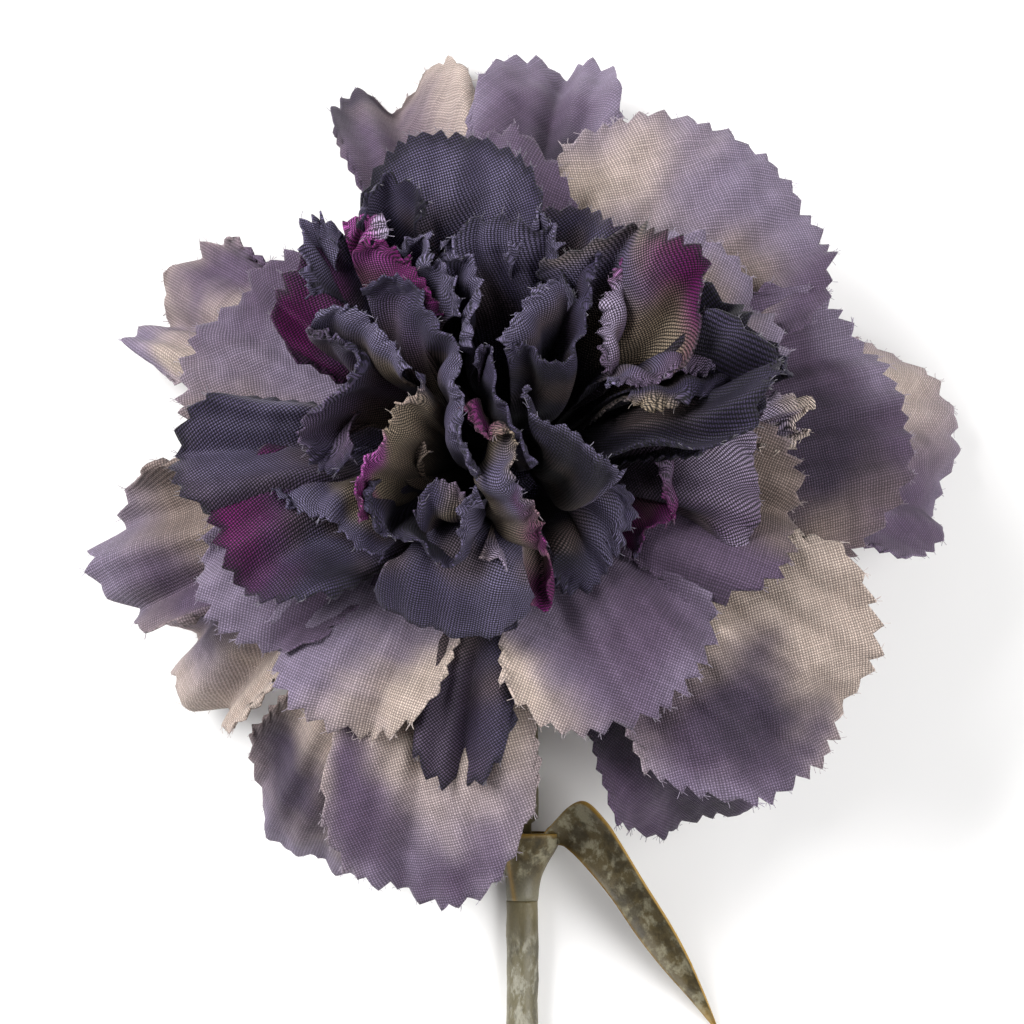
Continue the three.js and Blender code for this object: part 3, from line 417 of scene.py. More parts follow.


# Each petal: rosette, direction, length, width, fluting phase, then its dye: the ground tone and spots
# of other tones, each at (across from -1 to 1, along from 0 to 1, radius in millimetres).
# Some rows turn the near-black painted shade at the root down below its full strength.
petals = [
    petal(1, 7, 51, 25, 0.2, ["lilac", ("cream", 0.8, 0.8, 11), ("mauve", -0.6, 0.9, 8)], rise=(8, -66)),
    petal(1, -50, 44, 30, 1.4, ["dusk", ("mauve", 0.2, 1.0, 5), ("mauve", -0.9, 0.9, 5)], waves=1.3),
    petal(1, -120, 49, 25, 2.5, 
          ["beige", ("cream", -0.8, 0.7, 5), ("lilac", -0.2, 1.0, 7), ("plum", -0.5, 0.82, 6)]),
    petal(1, -155, 46, 19, 0.9, ["cream", ("lilac", -0.8, 0.8, 9), ("mauve", 0.0, 0.65, 4)],
          waves=1.6, flute=2.4, teeth=1.4),
    petal(1, 149, 48, 17, 3.1, ["cream", ("mauve", -0.8, 0.85, 9), ("lilac", 0.7, 1.0, 4)],
          fold=15, teeth=1.7, waves=1.7, rise=(10, -56)),
    petal(1, 106, 50, 18, 4.0, ["cream", ("mauve", 0.9, 0.8, 12), ("plum", 0.7, 1.0, 4)],
          fold=25, rise=(14, -56)),
    petal(1, 85, 48, 17, 5.0, ["lilac", ("mauve", 0.3, 0.75, 9), ("dusk", -0.2, 0.6, 8)],
          fold=10, rise=(22, -50)),
    petal(2, 52, 41, 33, 0.5,
          ["lilac", ("cream", 0.95, 0.75, 10), ("beige", -0.55, 0.66, 7), ("mauve", -0.9, 0.95, 6)],
          flute=1.2),
    petal(2, 7, 39, 31, 2.2,
          ["mauve", ("beige", -0.75, 0.8, 8), ("plum", -0.1, 0.72, 8), ("lilac", 0.5, 1.0, 5)]),
    petal(2, -40, 42, 31, 3.6,
          ["cream", ("lilac", -0.6, 1.0, 8), ("mauve", -0.5, 0.78, 8), ("plum", -0.2, 0.79, 6)],
          flute=1.8),
    petal(2, -103.6, 44, 25, 5.2,
          ["cream", ("lilac", 0.1, 1.0, 11.5), ("mauve", -0.55, 0.86, 5.5), ("mauve", 0.3, 0.92, 4)],
          rounding=0.34),
    petal(2, 191, 43, 18, 1.7, ["beige", ("lilac", 0.0, 1.0, 7), ("mauve", 0.8, 0.8, 6)],
          waves=1.5, flute=2.2, rise=(20, -40), teeth=1.5),
    petal(2, 154, 33, 25, 0.1, ["lilac", ("beige", 0.9, 0.8, 8), ("mauve", -0.5, 0.95, 6)], rise=(34, -30)),
    petal(3, -60, 28, 24, 0.8, ["lilac", ("cream", -0.9, 0.9, 5), ("mauve", 0.2, 0.72, 8)], rise=(40, -15)),
    petal(3, -127, 31, 20, 2.0, ["lilac", ("cream", 0.8, 0.9, 7)]),
    petal(3, -14, 29, 20, 4.1, ["mauve", ("beige", 0.4, 0.9, 5)], flute=2.6),
    petal(3, 97, 33, 22, 3.3, ["mauve", ("lilac", 0.5, 1.0, 6)]),
    petal(3, 206, 32, 18, 1.1, ["mauve", ("lilac", 0.0, 1.0, 6)]),
    petal(3, 34, 30, 22, 5.1, ["lilac", ("beige", 0.0, 0.7, 6)]),
    petal(4, 100, 35, 20, 0.7, ["slate", ("steel", -0.2, 0.75, 8), ("navy", 0.8, 1.0, 4)],
          flute=1.5, rise=(62, 14), teeth=0.6, edge=("navy", 1.8)),
    petal(4, 62, 28, 20, 2.9, ["slate", ("beige", 0.0, 0.6, 6)],
          rise=(62, 12), teeth=0.6, edge=("dusk", 1.6)),
    petal(4, 20, 30, 17, 1.9, ["slate", ("navy", 0.3, 0.9, 8)], flute=2.4),
    petal(4, -99, 31, 11, 4.4, ["slate", ("dusk", -0.7, 0.7, 7), ("plum", -0.5, 0.95, 5)], fold=14, flute=1.3,
          rise=(34, -24)),
    petal(4, 202, 31, 18, 3.0, ["slate", ("navy", 0.95, 0.8, 4), ("magenta", -0.5, 1.0, 7)],
          rise=(58, 0), heart=0.15, teeth=0.8),
    petal(4, 183, 34, 14, 5.6, ["slate", ("plum", 0.6, 0.9, 7), ("steel", -0.5, 0.8, 5)],
          flute=2.6, rise=(58, 2), heart=0.6, teeth=0.8),
    petal(4, 137, 31, 13, 1.5, ["slate", ("magenta", 0.8, 0.9, 6)], rise=(62, 14)),
    petal(5, 44, 33, 16, 1.6,
          ["sand", ("magenta", -0.4, 0.98, 5), ("steel", 0.9, 0.85, 6), ("slate", 0.0, 0.3, 7)],
          rise=(68, 24), teeth=0.65),
    petal(5, 10, 35, 13, 2.7, ["slate", ("navy", 0.2, 0.7, 10)], twist=-20, fold=20, rise=(66, 10)),
    petal(5, 80, 30, 11, 2.1, ["steel", ("slate", 0.3, 0.7, 6)], flute=1.5, rise=(72, 34)),
]


def ribbon(tier, root, dyeAndShade, rim, **more):
    facts = dict(drop=4, edge=None, teeth=0.55, heart=1.0)
    return {**facts, "tier": tier, "root": root, "dyeAndShade": dyeAndShade, "rim": rim, **more}


# Inner ruffles: tier, directions of the two ends of the root, dye, then stations along the rim, each with
# its place and how far the knee below it stands off in X and Y; drop is how far down the knee is.
# Some rows turn the near-black painted shade at the root down below its full strength; one carries a spot of
# it.
ribbons = [
    ribbon(5, (228, 285), ["steel", ("slate", -0.6, 0.8, 7)],
           [(-14.2, -11.7, 43.5, 1.2, 2.6), (-12.1, -14.1, 42.5, 1.6, 5), (-8.5, -15.5, 42, 1, 6.8),
            (-4.9, -16.3, 41.5, 0, 7), (-1.2, -15.7, 42, -1, 6), (1.3, -14.1, 42.5, -1, 4),
            (2.6, -12.8, 43, -1, 2.5)], drop=-4, teeth=0.15, heart=0.4),
    ribbon(5, (290, 340), ["slate", ("navy", -0.8, 0.6, 6), ("steel", 0.2, 0.9, 5)],
           [(3.7, -11.0, 40, 0.6, 2.6), (5.5, -11.8, 39, 0.4, 5), (8.1, -11.6, 38.5, -1, 6),
            (9.7, -9.9, 39.5, -2.6, 5.4), (10.9, -7.5, 41, -3.4, 4.4), (12.2, -5.2, 42, -4, 3),
            (12.8, -2.8, 43, -4, 1.4), (11.4, -0.6, 45, -2.6, -0.4)], drop=-1.5, teeth=0.6),
    ribbon(5, (18, -24), ["mauve", ("lilac", -0.6, 0.8, 6), ("dusk", 0.3, 0.6, 5), ("lilac", 0.8, 1.0, 4)],
           [(25.4, 6.8, 41, -5, -0.5), (25.6, 3.9, 41, -6, 0), (25.7, 0.8, 40, -6, 0.5),
            (26.0, -2.3, 40, -6.4, 0), (24.6, -5.9, 39, -4.6, 2), (23.4, -8.5, 38, -2.6, 4),
            (21.8, -11.5, 37, -0.8, 5)], drop=-1.5, teeth=0.2),
    ribbon(5, (24, 12), ["lilac", ("cream", -0.2, 1.0, 4), ("cream", 0.8, 1.0, 4)],
           [(25.9, 8.3, 40, -0.6, -2), (28.3, 8.8, 38.5, -2, -2.4), (31.2, 8.1, 37, -4, -2.4),
            (29.8, 5.6, 37, -3.4, 0), (30.8, 4.8, 36.5, -4, 0.6), (28.8, 2.9, 37.5, -3, 2),
            (26.2, 3.2, 38.5, -1, 2)], drop=0.8, teeth=0.8),
    ribbon(5, (8, -30), ["magenta", ("mauve", -0.9, 0.9, 3), ("slate", 1.0, 0.9, 3)],
           [(15.0, 1.7, 43, 1.2, 0.4), (15.5, -0.2, 43, 1.2, 0.3), (15.8, -2.3, 42.5, 1.2, 0.6),
            (17.2, -4.2, 41, -0.8, 1.6), (15.3, -4.9, 41, -0.8, 1.4), (13.8, -6.4, 40, -1, 1.2),
            (13.0, -8.4, 39, -1, 1.2)], drop=2),
    ribbon(6, (52, 42), ["mauve", ("rose", 0.7, 1.0, 4), ("lilac", -0.3, 0.9, 4)],
           [(9.5, 10.8, 50, 1.2, -0.5), (8.9, 14.8, 50, 2.1, 0), (9.6, 18.9, 49, 2.2, -0.6),
            (11.4, 22.3, 47.5, 1.5, -1.5), (14.1, 24.3, 45.5, 0.8, -1.6)], drop=1.5),
    ribbon(6, (118, 148), ["slate", ("steel", -0.2, 0.8, 8), ("navy", 0.9, 0.7, 5)],
           [(-17.8, 25.5, 44, 0.5, -6), (-19.9, 27.3, 42.5, 2, -8), (-21.9, 26.1, 43, 4.5, -7),
            (-21.8, 21.7, 45.5, 4.5, -3), (-21.1, 18.4, 46.5, 3.8, 0)], teeth=0.75),
    ribbon(6, (150, 134), ["steel", ("sand", 0.6, 0.6, 4), ("slate", -0.6, 0.7, 5)],
           [(-19.6, 17.0, 48, -0.5, -2.2), (-16.6, 17.6, 50, -1.5, -3), (-13.1, 14.9, 51.5, -1.6, -2.2),
            (-10.4, 11.2, 53, -0.4, -0.6)], drop=3),
    ribbon(6, (128, 114), ["rose", ("magenta", -0.8, 0.8, 4), ("lilac", 0.9, 1.0, 2)],
           [(-17.3, 26.0, 45, 1, -3.5), (-15.2, 27.2, 45, 0, -4.5), (-12.8, 26.4, 46, -2, -3.5),
            (-12.9, 24.2, 47, -2.4, -1.6)], drop=2.5),
    ribbon(6, (124, 106), ["magenta", ("rose", -0.6, 0.8, 3), ("slate", 1.0, 0.8, 4)],
           [(-15.7, 24.0, 47, -0.5, -3), (-13.1, 24.1, 48, -1, -3.4), (-10.6, 22.3, 49, -1.8, -3),
            (-8.6, 19.6, 50, -1.8, -2.2), (-7.2, 16.8, 50.5, -1.2, -1.5)], drop=3),
    ribbon(7, (125, 195),
           ["slate", ("mauve", -0.6, 0.6, 6), ("sand", -0.35, 0.45, 4), ("steel", 0.4, 1.0, 6)],
           [(-15.5, 19.6, 49.5, 2.2, -4.6), (-13.1, 20.8, 50.5, 1.2, -6.5), (-10.8, 19.9, 51.5, 0.8, -7),
            (-9.3, 17.6, 53, 0.4, -4.5), (-6.9, 15.3, 54, -1.6, -1.4), (-4.9, 12.9, 54.5, -1.8, -0.6),
            (-5.7, 9.6, 55, -1.6, 0), (-4.8, 7.5, 55, -1.2, 0), (-5.6, 5.0, 55, -1.4, 0.2),
            (-4.8, 2.1, 54.5, -1.2, 0.3), (-3.5, -0.2, 53.5, -1, 0.8)], drop=5),
    ribbon(6, (116, 98), ["steel", ("slate", 0.8, 0.7, 5)],
           [(-11.7, 23.4, 48, 1, -2.6), (-10.4, 25.0, 47.5, 0.4, -3.4), (-8.2, 25.2, 47.5, -0.6, -3.2),
            (-8.4, 22.5, 49.5, -1.4, -1.6), (-7.1, 22.1, 50, -1.4, -2.6), (-5.9, 19.7, 51.5, -2, -1.8),
            (-5.6, 16.6, 53, -1.6, -1)], teeth=0.75),
    ribbon(6, (104, 90), ["steel", ("slate", 0.9, 0.7, 5)],
           [(-7.2, 24.2, 48.5, -0.4, -1.8), (-5.8, 24.7, 48, -0.6, -2.6), (-6.0, 22.7, 49.5, -1.2, -1.4),
            (-4.6, 22.5, 49.5, -1, -2.6), (-3.5, 20.9, 50.5, -1.7, -1.9), (-2.9, 18.4, 52, -1.9, -1),
            (-3.9, 15.3, 53.5, -1.2, -0.4), (-4.0, 13.2, 54, -1, -0.4)], drop=5, teeth=0.7),
    ribbon(6, (92, 66), ["steel", ("slate", 0.7, 0.7, 5)],
           [(-1.2, 22.7, 49.5, 1.6, -3), (0.0, 24.6, 48.5, 1.2, -5), (1.6, 26.4, 47, 0.6, -7.2),
            (3.0, 27.5, 46.5, -0.3, -8.2), (4.1, 26.2, 47, -1, -6.8), (5.3, 24.0, 48.5, -2, -4.8)], drop=5,
           teeth=0.8),
    ribbon(7, (88, 64), ["steel", ("slate", -0.6, 0.6, 5)],
           [(-1.5, 13.6, 54, 2.4, -1.4), (-0.4, 15.4, 53.5, 2.8, -1.3), (0.8, 17.3, 52.5, 2.6, -1.3),
            (2.3, 19.3, 51.5, 2.2, -1.2), (3.8, 20.2, 51, 1.8, -1.4)], drop=2.5),
    ribbon(7, (80, 38), ["slate", ("navy", -0.5, 0.7, 6), ("dusk", 0.5, 0.6, 5)],
           [(-0.7, 12.9, 53.5, 0.4, -2.6), (1.3, 13.8, 53.5, 0.2, -3.2), (3.4, 12.2, 53.5, 0.2, -3),
            (5.3, 11.9, 53, 0.6, -2.8), (7.0, 14.2, 52, -1, -1.6), (7.9, 17.4, 51, -1.8, -0.6),
            (8.3, 20.5, 49.5, -1.6, -0.6), (9.4, 23.0, 48, -1, -1.2)], drop=4.5),
    ribbon(8, (112, 6), ["slate", ("mauve", -0.5, 0.7, 4), ("navy", 0.6, 0.7, 4)],
           [(-3.9, 11.8, 55, 0.5, -2.2), (-3.4, 13.4, 54.5, 0.6, -3), (-2.5, 13.8, 54.5, -0.2, -3),
            (-1.4, 12.7, 55, -1.2, -1.5), (-1.4, 9.6, 56, -1.6, 0), (-0.6, 7.0, 56, -1.5, -0.4),
            (0.8, 3.9, 55.5, -1.4, -0.6), (2.4, 1.3, 54.5, -1.2, -0.8)], drop=6),
    ribbon(8, (160, 290),
           ["sand", ("magenta", -0.75, 0.9, 4), ("steel", 0.3, 0.8, 4), ("magenta", 0.9, 1.0, 3)],
           [(-5.0, 7.3, 54.5, 1.4, 0.4), (-3.9, 5.4, 55, 1.5, 1), (-2.6, 4.0, 55, 0.4, 1.4),
            (-1.2, 4.2, 55.3, 0, 1), (0.1, 4.0, 55.3, -1.2, 0), (0.1, 1.1, 55, -2.4, -0.4),
            (0.9, -1.3, 54, -3, -0.6), (2.4, -3.2, 52.5, -3.6, -0.2), (3.0, -5.8, 50.5, -4, 0.6),
            (3.5, -8.2, 48.5, -3.4, 1.4)], drop=3.5),
    ribbon(6, (255, 295), ["beige", ("magenta", 0.6, 1.0, 4), ("lilac", -0.6, 0.9, 3)],
           [(-3.3, -8.0, 47, 1, 2.4), (-1.2, -8.8, 47, 1, 3), (0.3, -11.0, 45, 1.4, 4),
            (2.7, -13.3, 43, 0.4, 5), (3.5, -11.2, 44.5, -0.6, 4)]),
    ribbon(7, (52, -22), ["navy", ("heart", 0.2, 0.55, 6), ("slate", -0.8, 0.85, 3)],
           [(1.9, 9.0, 54, 0, -2), (1.6, 7.2, 54, 0.8, -2.4), (3.4, 5.8, 53.5, -0.3, -3.6),
            (6.0, 5.0, 53, -1.2, -4.2), (8.1, 3.1, 52, -1.8, -4.2), (9.9, 1.7, 51, -2.4, -3.8),
            (11.5, 0.6, 50, -3.2, -3)], drop=3.5, edge=("steel", 1.2)),
    ribbon(7, (138, 206),
           ["sand", ("beige", -0.5, 0.97, 2.5), ("rose", 0.45, 0.95, 3.5), ("magenta", 0.9, 0.9, 3),
            ("slate", -1.0, 0.9, 3)],
           [(-9.1, 10.8, 53.5, 0.8, -2.2), (-9.3, 8.8, 53.5, 1.2, -2.4), (-11.4, 7.6, 53, 2, -1.6),
            (-12.5, 5.5, 52.5, 2.4, -0.8), (-13.7, 3.2, 52, 2.4, -0.4), (-15.5, 0.8, 51, 2.6, 0),
            (-16.0, -1.8, 50, 2, 0.4), (-15.0, -4.4, 48.5, 1.2, 1)]),
    ribbon(8, (205, 175), ["sand", ("beige", 0.0, 1.0, 4)],
           [(-11.0, 0.6, 45, 0.6, -1.4), (-10.4, 3.3, 46.5, 0.6, -3), (-9.3, 4.2, 47, -0.2, -3),
            (-8.3, 2.6, 47, -1.4, -1.8)], drop=3),
    ribbon(7, (200, 262), ["slate", ("navy", -0.2, 0.7, 6), ("steel", 0.7, 0.9, 4)],
           [(-14.0, -0.5, 50, 1.4, 0.4), (-14.5, -2.4, 49.5, 1.8, 0.5), (-13.1, -5.9, 48, 1, 1.6),
            (-11.0, -6.5, 48.5, 0, 1.8), (-9.0, -7.3, 48.5, 0.2, 2), (-7.4, -8.9, 47.5, 0.4, 2.4),
            (-5.8, -8.1, 48.5, 1.6, 1), (-5.7, -5.4, 50.5, 1.8, 0), (-5.3, -2.8, 52, 1.8, -0.2),
            (-3.5, -1.2, 53, 0.6, -1.4)], drop=4.5),
    ribbon(8, (216, 252), ["mauve", ("sand", 0.3, 0.7, 4), ("slate", -0.8, 0.9, 4)],
           [(-10.0, -3.5, 49, 1, -1.8), (-8.3, -0.6, 50.5, 0.2, -3.4), (-6.8, -0.3, 51, -0.3, -3.6),
            (-4.6, -1.5, 51.5, -1, -2.6)], drop=3),
    ribbon(6, (188, 230), ["slate", ("steel", -0.4, 0.95, 6), ("sand", 0.3, 0.6, 4)],
           [(-24.6, -0.6, 42, 1.4, 2), (-23.5, -2.5, 42.5, 1.8, 3), (-21.4, -3.7, 44, 1.8, 3.4),
            (-18.8, -4.2, 46, 1.8, 3), (-17.1, -5.6, 46.5, 1.8, 2.4), (-15.5, -7.2, 46.5, 1.7, 2),
            (-13.8, -8.7, 46, 1.4, 1.8)], drop=3),
    ribbon(6, (148, 194), ["mauve", ("slate", -0.4, 0.9, 7), ("sand", 0.4, 0.45, 5), ("slate", 0.6, 1.0, 5)],
           [(-20.7, 15.7, 47, 0.4, -1.8), (-18.3, 14.7, 48.5, -0.4, -1.8), (-16.5, 13.2, 50, 1.6, -1),
            (-16.1, 11.3, 50.5, 2.6, 0), (-17.8, 9.3, 49.5, 3.6, 0.6), (-20.4, 7.2, 48, 4.8, 1),
            (-22.1, 5.1, 46.5, 5.4, 1), (-21.6, 2.9, 45.5, 5.2, 2), (-20.0, 1.1, 45, 3.8, 4),
            (-18.2, 0.7, 46, 1.6, 5), (-16.5, 2.1, 47.5, 0.2, 4.8)]),
    ribbon(6, (34, 6), ["steel", ("mauve", -0.3, 0.9, 6), ("navy", 0.8, 0.9, 5), ("slate", 0.3, 0.6, 6)],
           [(9.4, 9.3, 53, 0.2, 1), (11.5, 9.6, 52.5, 0.2, 1.7), (14.3, 9.3, 51.5, 0, 2.3),
            (16.6, 11.0, 51, 0, 2.1), (19.6, 10.6, 49, -0.4, 2.6), (22.1, 13.1, 47.5, -1.6, 1.2),
            (23.9, 14.9, 45.5, -1.4, -3), (27.4, 13.8, 42, -3, -3.6), (29.3, 11.0, 40.5, -3.4, -2)], drop=3),
    ribbon(6, (22, 2), ["slate", ("sand", -0.6, 1.0, 2.5), ("navy", 0.2, 0.6, 8)],
           [(11.6, 7.9, 53.5, 0.4, 1.4), (14.5, 6.9, 52.5, 0.5, 2.2), (17.9, 8.0, 51, 0.3, 2.1),
            (21.5, 9.1, 48.5, 0.2, 1.9), (24.6, 10.5, 46.5, -0.2, 1.2)], drop=3),
    ribbon(5, (124, 106), ["slate", ("steel", -0.2, 0.8, 4), ("navy", 0.8, 0.9, 3)],
           [(-15.6, 25.6, 45.5, 0.6, -2.4), (-15.2, 28.4, 46, 0.6, -3.4), (-13.4, 30.4, 46.5, 0.4, -4.2),
            (-11.4, 30.7, 47, 0, -4.4), (-9.4, 29.4, 48, -0.4, -3.8), (-8.8, 27.0, 48.5, -0.4, -2.6)],
           drop=4.5, teeth=0.8, edge=("navy", 0.8), heart=0.3),
]


def bloomPose(spots):
    # leans the bloom as it lies: left, then up, then lifts it to the hub's height
    left, up = math.radians(-bloom["tiltLeft"]), math.radians(-bloom["tiltUp"])
    x, y, z = spots[..., 0], spots[..., 1], spots[..., 2]
    x, z = x * math.cos(left) + z * math.sin(left), -x * math.sin(left) + z * math.cos(left)
    y, z = y * math.cos(up) - z * math.sin(up), y * math.sin(up) + z * math.cos(up)
    return np.stack([x, y, z + bloom["hubHeight"]], -1)


def crumple(spots):
    spots, facts = spots.copy(), crumpleRange
    radius = np.hypot(spots[..., 0], spots[..., 1])
    fade = 1 - facts["flatShare"] * ease((radius - facts["flatFrom"]) / facts["flatOver"])
    grow = ease((spots[..., 2] - facts["growFrom"]) / facts["growOver"]) * fade
    for direction, wavelength, amplitude, phase in crumples:
        c, s = math.cos(math.radians(direction)), math.sin(math.radians(direction))
        offset = -spots[..., 0] * s + spots[..., 1] * c
        wave = 2 * math.pi * offset / wavelength + phase + facts["slant"] * spots[..., 2]
        move = amplitude * grow * np.sin(wave)
        spots[..., 0] += move * c
        spots[..., 1] += move * s
    return spots


def pleat(angle):
    # a wave with tighter creases than a sine
    return np.arcsin(bloom["crease"] * np.sin(angle)) / math.asin(bloom["crease"])


fanShape = {
    "fill": 1.52, "claw": 2.6, "clawShare": 0.8, "rimPower": 2.6, "sideBand": 0.12, "cupFrom": 5,
    "opening": 1.6, "swellPower": 1.7, "ripple": 0.3, "rippleWaves": 3.45,
}


def petalSurface(p, u, v, tooth, sideTooth, seed):
    # points of the petal's middle surface, and where each lay in the flat cloth
    facts = fanShape
    halfAngle = math.asin(min(0.95, p["width"] / (facts["fill"] * p["length"])))
    reach = p["length"] * (1 - p["rounding"] * np.abs(u) ** facts["rimPower"])
    reach = reach + tooth * ease((v - 1 + pinking["rimBand"]) / pinking["rimBand"])
    claw = min(facts["claw"], p["root"] * facts["clawShare"])
    across = u * claw * (1 - v) + v * reach * np.sin(u * halfAngle)
    nearSide = ease((np.abs(u) - 1 + facts["sideBand"]) / facts["sideBand"])
    across = across + np.sign(u) * sideTooth * nearSide
    along = v * reach * np.cos(u * halfAngle)
    flat = np.stack([across, p["root"] + along], -1)

    # the petal's spine bends evenly from its rise at the hub to its rise at the rim
    start, bend = math.radians(p["rise"][0]), math.radians(p["rise"][1] - p["rise"][0])
    slope = start + bend * along / p["length"]
    out = p["length"] / bend * (np.sin(slope) - math.sin(start))
    up = -p["length"] / bend * (np.cos(slope) - math.cos(start))

    # the inner tiers' petals start wrapped round the hub; all of them are cupped, folded, fluted and wrinkled
    spread = 1.0 if p["tier"] < 4 else ease(3 * v)
    cupped = p["cup"] / np.maximum(p["root"] + out, facts["cupFrom"])
    curve = (1 - spread) / (p["root"] + out) + spread * cupped
    s = across
    across = np.sin(curve * s) / curve
    lift = (1 - np.cos(curve * s)) / curve
    opening = ease(facts["opening"] * v)
    fold = math.radians(p["fold"])
    lift = lift + (np.sqrt(s * s + 1) - 1) * math.sin(fold) * opening
    across = across * (1 - (1 - math.cos(fold)) * opening)
    swell = p["flute"] * v ** facts["swellPower"]
    ripple = facts["rippleWaves"] * math.pi * p["waves"] * u + 2.1 * p["phase"] + 1
    radialWave = 2 * math.pi * s / wrinkles["radialWave"] / (0.4 + 0.6 * v) + 5 * p["phase"]
    lift = lift + swell * pleat(1.5 * math.pi * p["waves"] * u + p["phase"])
    lift = lift + facts["ripple"] * swell * np.sin(ripple)
    lift = lift + wrinkles["radial"] * ease(1.3 * v) * np.sin(radialWave)
    lift = lift + wrinkles["broad"] * ease(1.5 * v) * drift(s, along, seed, wrinkles["broadWave"])
    lift = lift + wrinkles["fine"] * drift(s, along, seed + 1, wrinkles["fineWave"])
    turn = math.radians(p["twist"]) * v
    side = across * np.cos(turn) - lift * np.sin(turn)
    lift = across * np.sin(turn) + lift * np.cos(turn)

    azimuth = math.radians(p["azimuth"])
    radius = p["root"] + out - lift * np.sin(slope)
    spots = np.stack([radius * math.cos(azimuth) - side * math.sin(azimuth),
                      radius * math.sin(azimuth) + side * math.cos(azimuth),
                      p["tier"] * bloom["hubStep"] + up + lift * np.cos(slope)], -1)
    spots = bloomPose(crumple(spots))
    # what would sink into the table comes to lie on it
    above = spots[..., 2] - cloth["floor"]
    spots[..., 2] = cloth["floor"] + (above + np.sqrt(above ** 2 + cloth["floorSoftness"] ** 2)) / 2
    return spots, flat


def unit(vectors):
    return vectors / np.maximum(np.linalg.norm(vectors, axis=-1, keepdims=True), 1e-9)


def gridNormal(spots):
    return unit(np.cross(np.gradient(spots, axis=1), np.gradient(spots, axis=0)))


def ribbonSurface(p, u, v, tooth, seed):
    # root on the hub, knee below the rim, rim along the given line; v runs up through the three
    station = splineAt(p["rim"], (u + 1) / 2 * (len(p["rim"]) - 1))
    rim = station[..., :3]
    knee = rim + np.stack([station[..., 3], station[..., 4], np.full_like(u, -p["drop"])], -1)
    angle = np.radians(p["root"][0] + (p["root"][1] - p["root"][0]) * (u + 1) / 2)
    radius = tiers[p["tier"]]["root"]
    root = bloomPose(np.stack([radius * np.cos(angle), radius * np.sin(angle),
                               np.full_like(u, p["tier"] * bloom["hubStep"])], -1))
    rimBand = 2 * pinking["rimBand"]
    rim = rim + unit(rim - knee) * (tooth * ease((v - 1 + rimBand) / rimBand))[..., None]
    bend, v = bloom["knee"], v[..., None]
    spots = root * (v - bend) * (v - 1) / bend
    spots = spots + knee * v * (v - 1) / bend / (bend - 1) + rim * v * (v - bend) / (1 - bend)
    stepsAcross = np.linalg.norm(np.diff(spots, axis=1), axis=-1)
    stepsAlong = np.linalg.norm(np.diff(spots, axis=0), axis=-1)
    across = np.cumsum(np.pad(stepsAcross, ((0, 0), (1, 0))), axis=1)
    across -= across[:, -1:] / 2
    along = radius + np.cumsum(np.pad(stepsAlong, ((1, 0), (0, 0))), axis=0)
    ripple = wrinkles["radial"] * np.sin(2 * math.pi * across / wrinkles["radialWave"] + seed)
    ripple += wrinkles["broad"] * drift(across, along, seed, wrinkles["broadWave"])
    wrinkled = gridNormal(spots) * (ripple * ease(fanShape["opening"] * v[..., 0]))[..., None]
    return spots + wrinkled, np.stack([across, along], -1)


def petalDyeAndShade(p, u, v, flat, seed):
    # ground tone, then each spot with a soft wandering edge, then on the inner tiers a brown band darkened as
    # painted shade and near-black painted shade toward the root, then the darker rim
    paint = np.tile(toneOf(p["dyeAndShade"][0]), (*u.shape, 1))
    wander = dyeAndShading["wander"] * drift(flat[..., 0], flat[..., 1], seed + 2, dyeAndShading["wanderSize"])
    small = drift(flat[..., 0], flat[..., 1], seed + 3, dyeAndShading["smallSize"])

    def lay(tone, mask):
        return paint * (1 - mask[..., None]) + toneOf(tone) * mask[..., None]

    for tone, across, along, size in p["dyeAndShade"][1:]:
        away = np.hypot((u - across) * p["width"] / 2, (v - along) * p["length"])
        edge = (away + wander + dyeAndShading["small"] * small) / size / dyeAndShading["softness"]
        paint = lay(tone, ease(dyeAndShading["reach"] - edge))
    if p["tier"] > 3:
        # a brown band partway up the inner petals: partly their own beige base, partly painted shade that
        # darkens it
        baseAndShadeOver = dyeAndShading["baseAndShadeOver"]
        band = ease((v - dyeAndShading["baseAndShadeFrom"]) / baseAndShadeOver) * (1 - ease((v - dyeAndShading["baseAndShadeTo"]) / baseAndShadeOver))
        cloud = drift(flat[..., 0], flat[..., 1], seed + 5, dyeAndShading["baseAndShadeSize"])
        paint = lay("baseAndShade", dyeAndShading["baseAndShade"] * band * ease(cloud + dyeAndShading["baseAndShadeLevel"]))
        # painted shade: the inner tiers go near-black toward their roots, where the crowded folds lie in
        # shade
        heartFade = 1 - ease((v - dyeAndShading["heartFrom"]) / dyeAndShading["heartOver"])
        paint = lay("heart", dyeAndShading["heart"] * p["heart"] * heartFade)
    if p["edge"]:
        tone, width = p["edge"]
        inward = np.minimum((1 - v) * p["length"], (1 - np.abs(u)) * p["width"] / 2)
        depth = inward - dyeAndShading["rimInset"] + dyeAndShading["rimWander"] * small
        paint = lay(tone, dyeAndShading["rim"] * (1 - ease(depth / width)))
    return paint


def toneOf(tone):
    return np.array(colour(dyeAndShadeTones[tone])[:3])


def rimSteps(length, rng, size=1.0):
    # uneven zigzag of the pinking shears: places across from -1 to 1, and how far each stands out
    halves = 2 * max(2, round(length / pinking["pitch"] / (0.4 + 0.6 * max(size, 0.5))))
    corners = np.concatenate([[0], np.cumsum(rng.uniform(*pinking["widths"], halves))])
    corners = 2 * corners / corners[-1] - 1
    spread = min(0.8, pinking["spread"] * max(size, 1.0))
    heights = rng.uniform(pinking["mean"] - spread, pinking["mean"] + spread, halves + 1)
    heights = size * pinking["depth"] * heights * np.where(np.arange(halves + 1) % 2, -1, 1)
    steps = np.linspace(0, halves, halves * pinking["cuts"] + 1)
    return np.interp(steps, np.arange(halves + 1), corners), np.interp(steps, np.arange(halves + 1), heights)


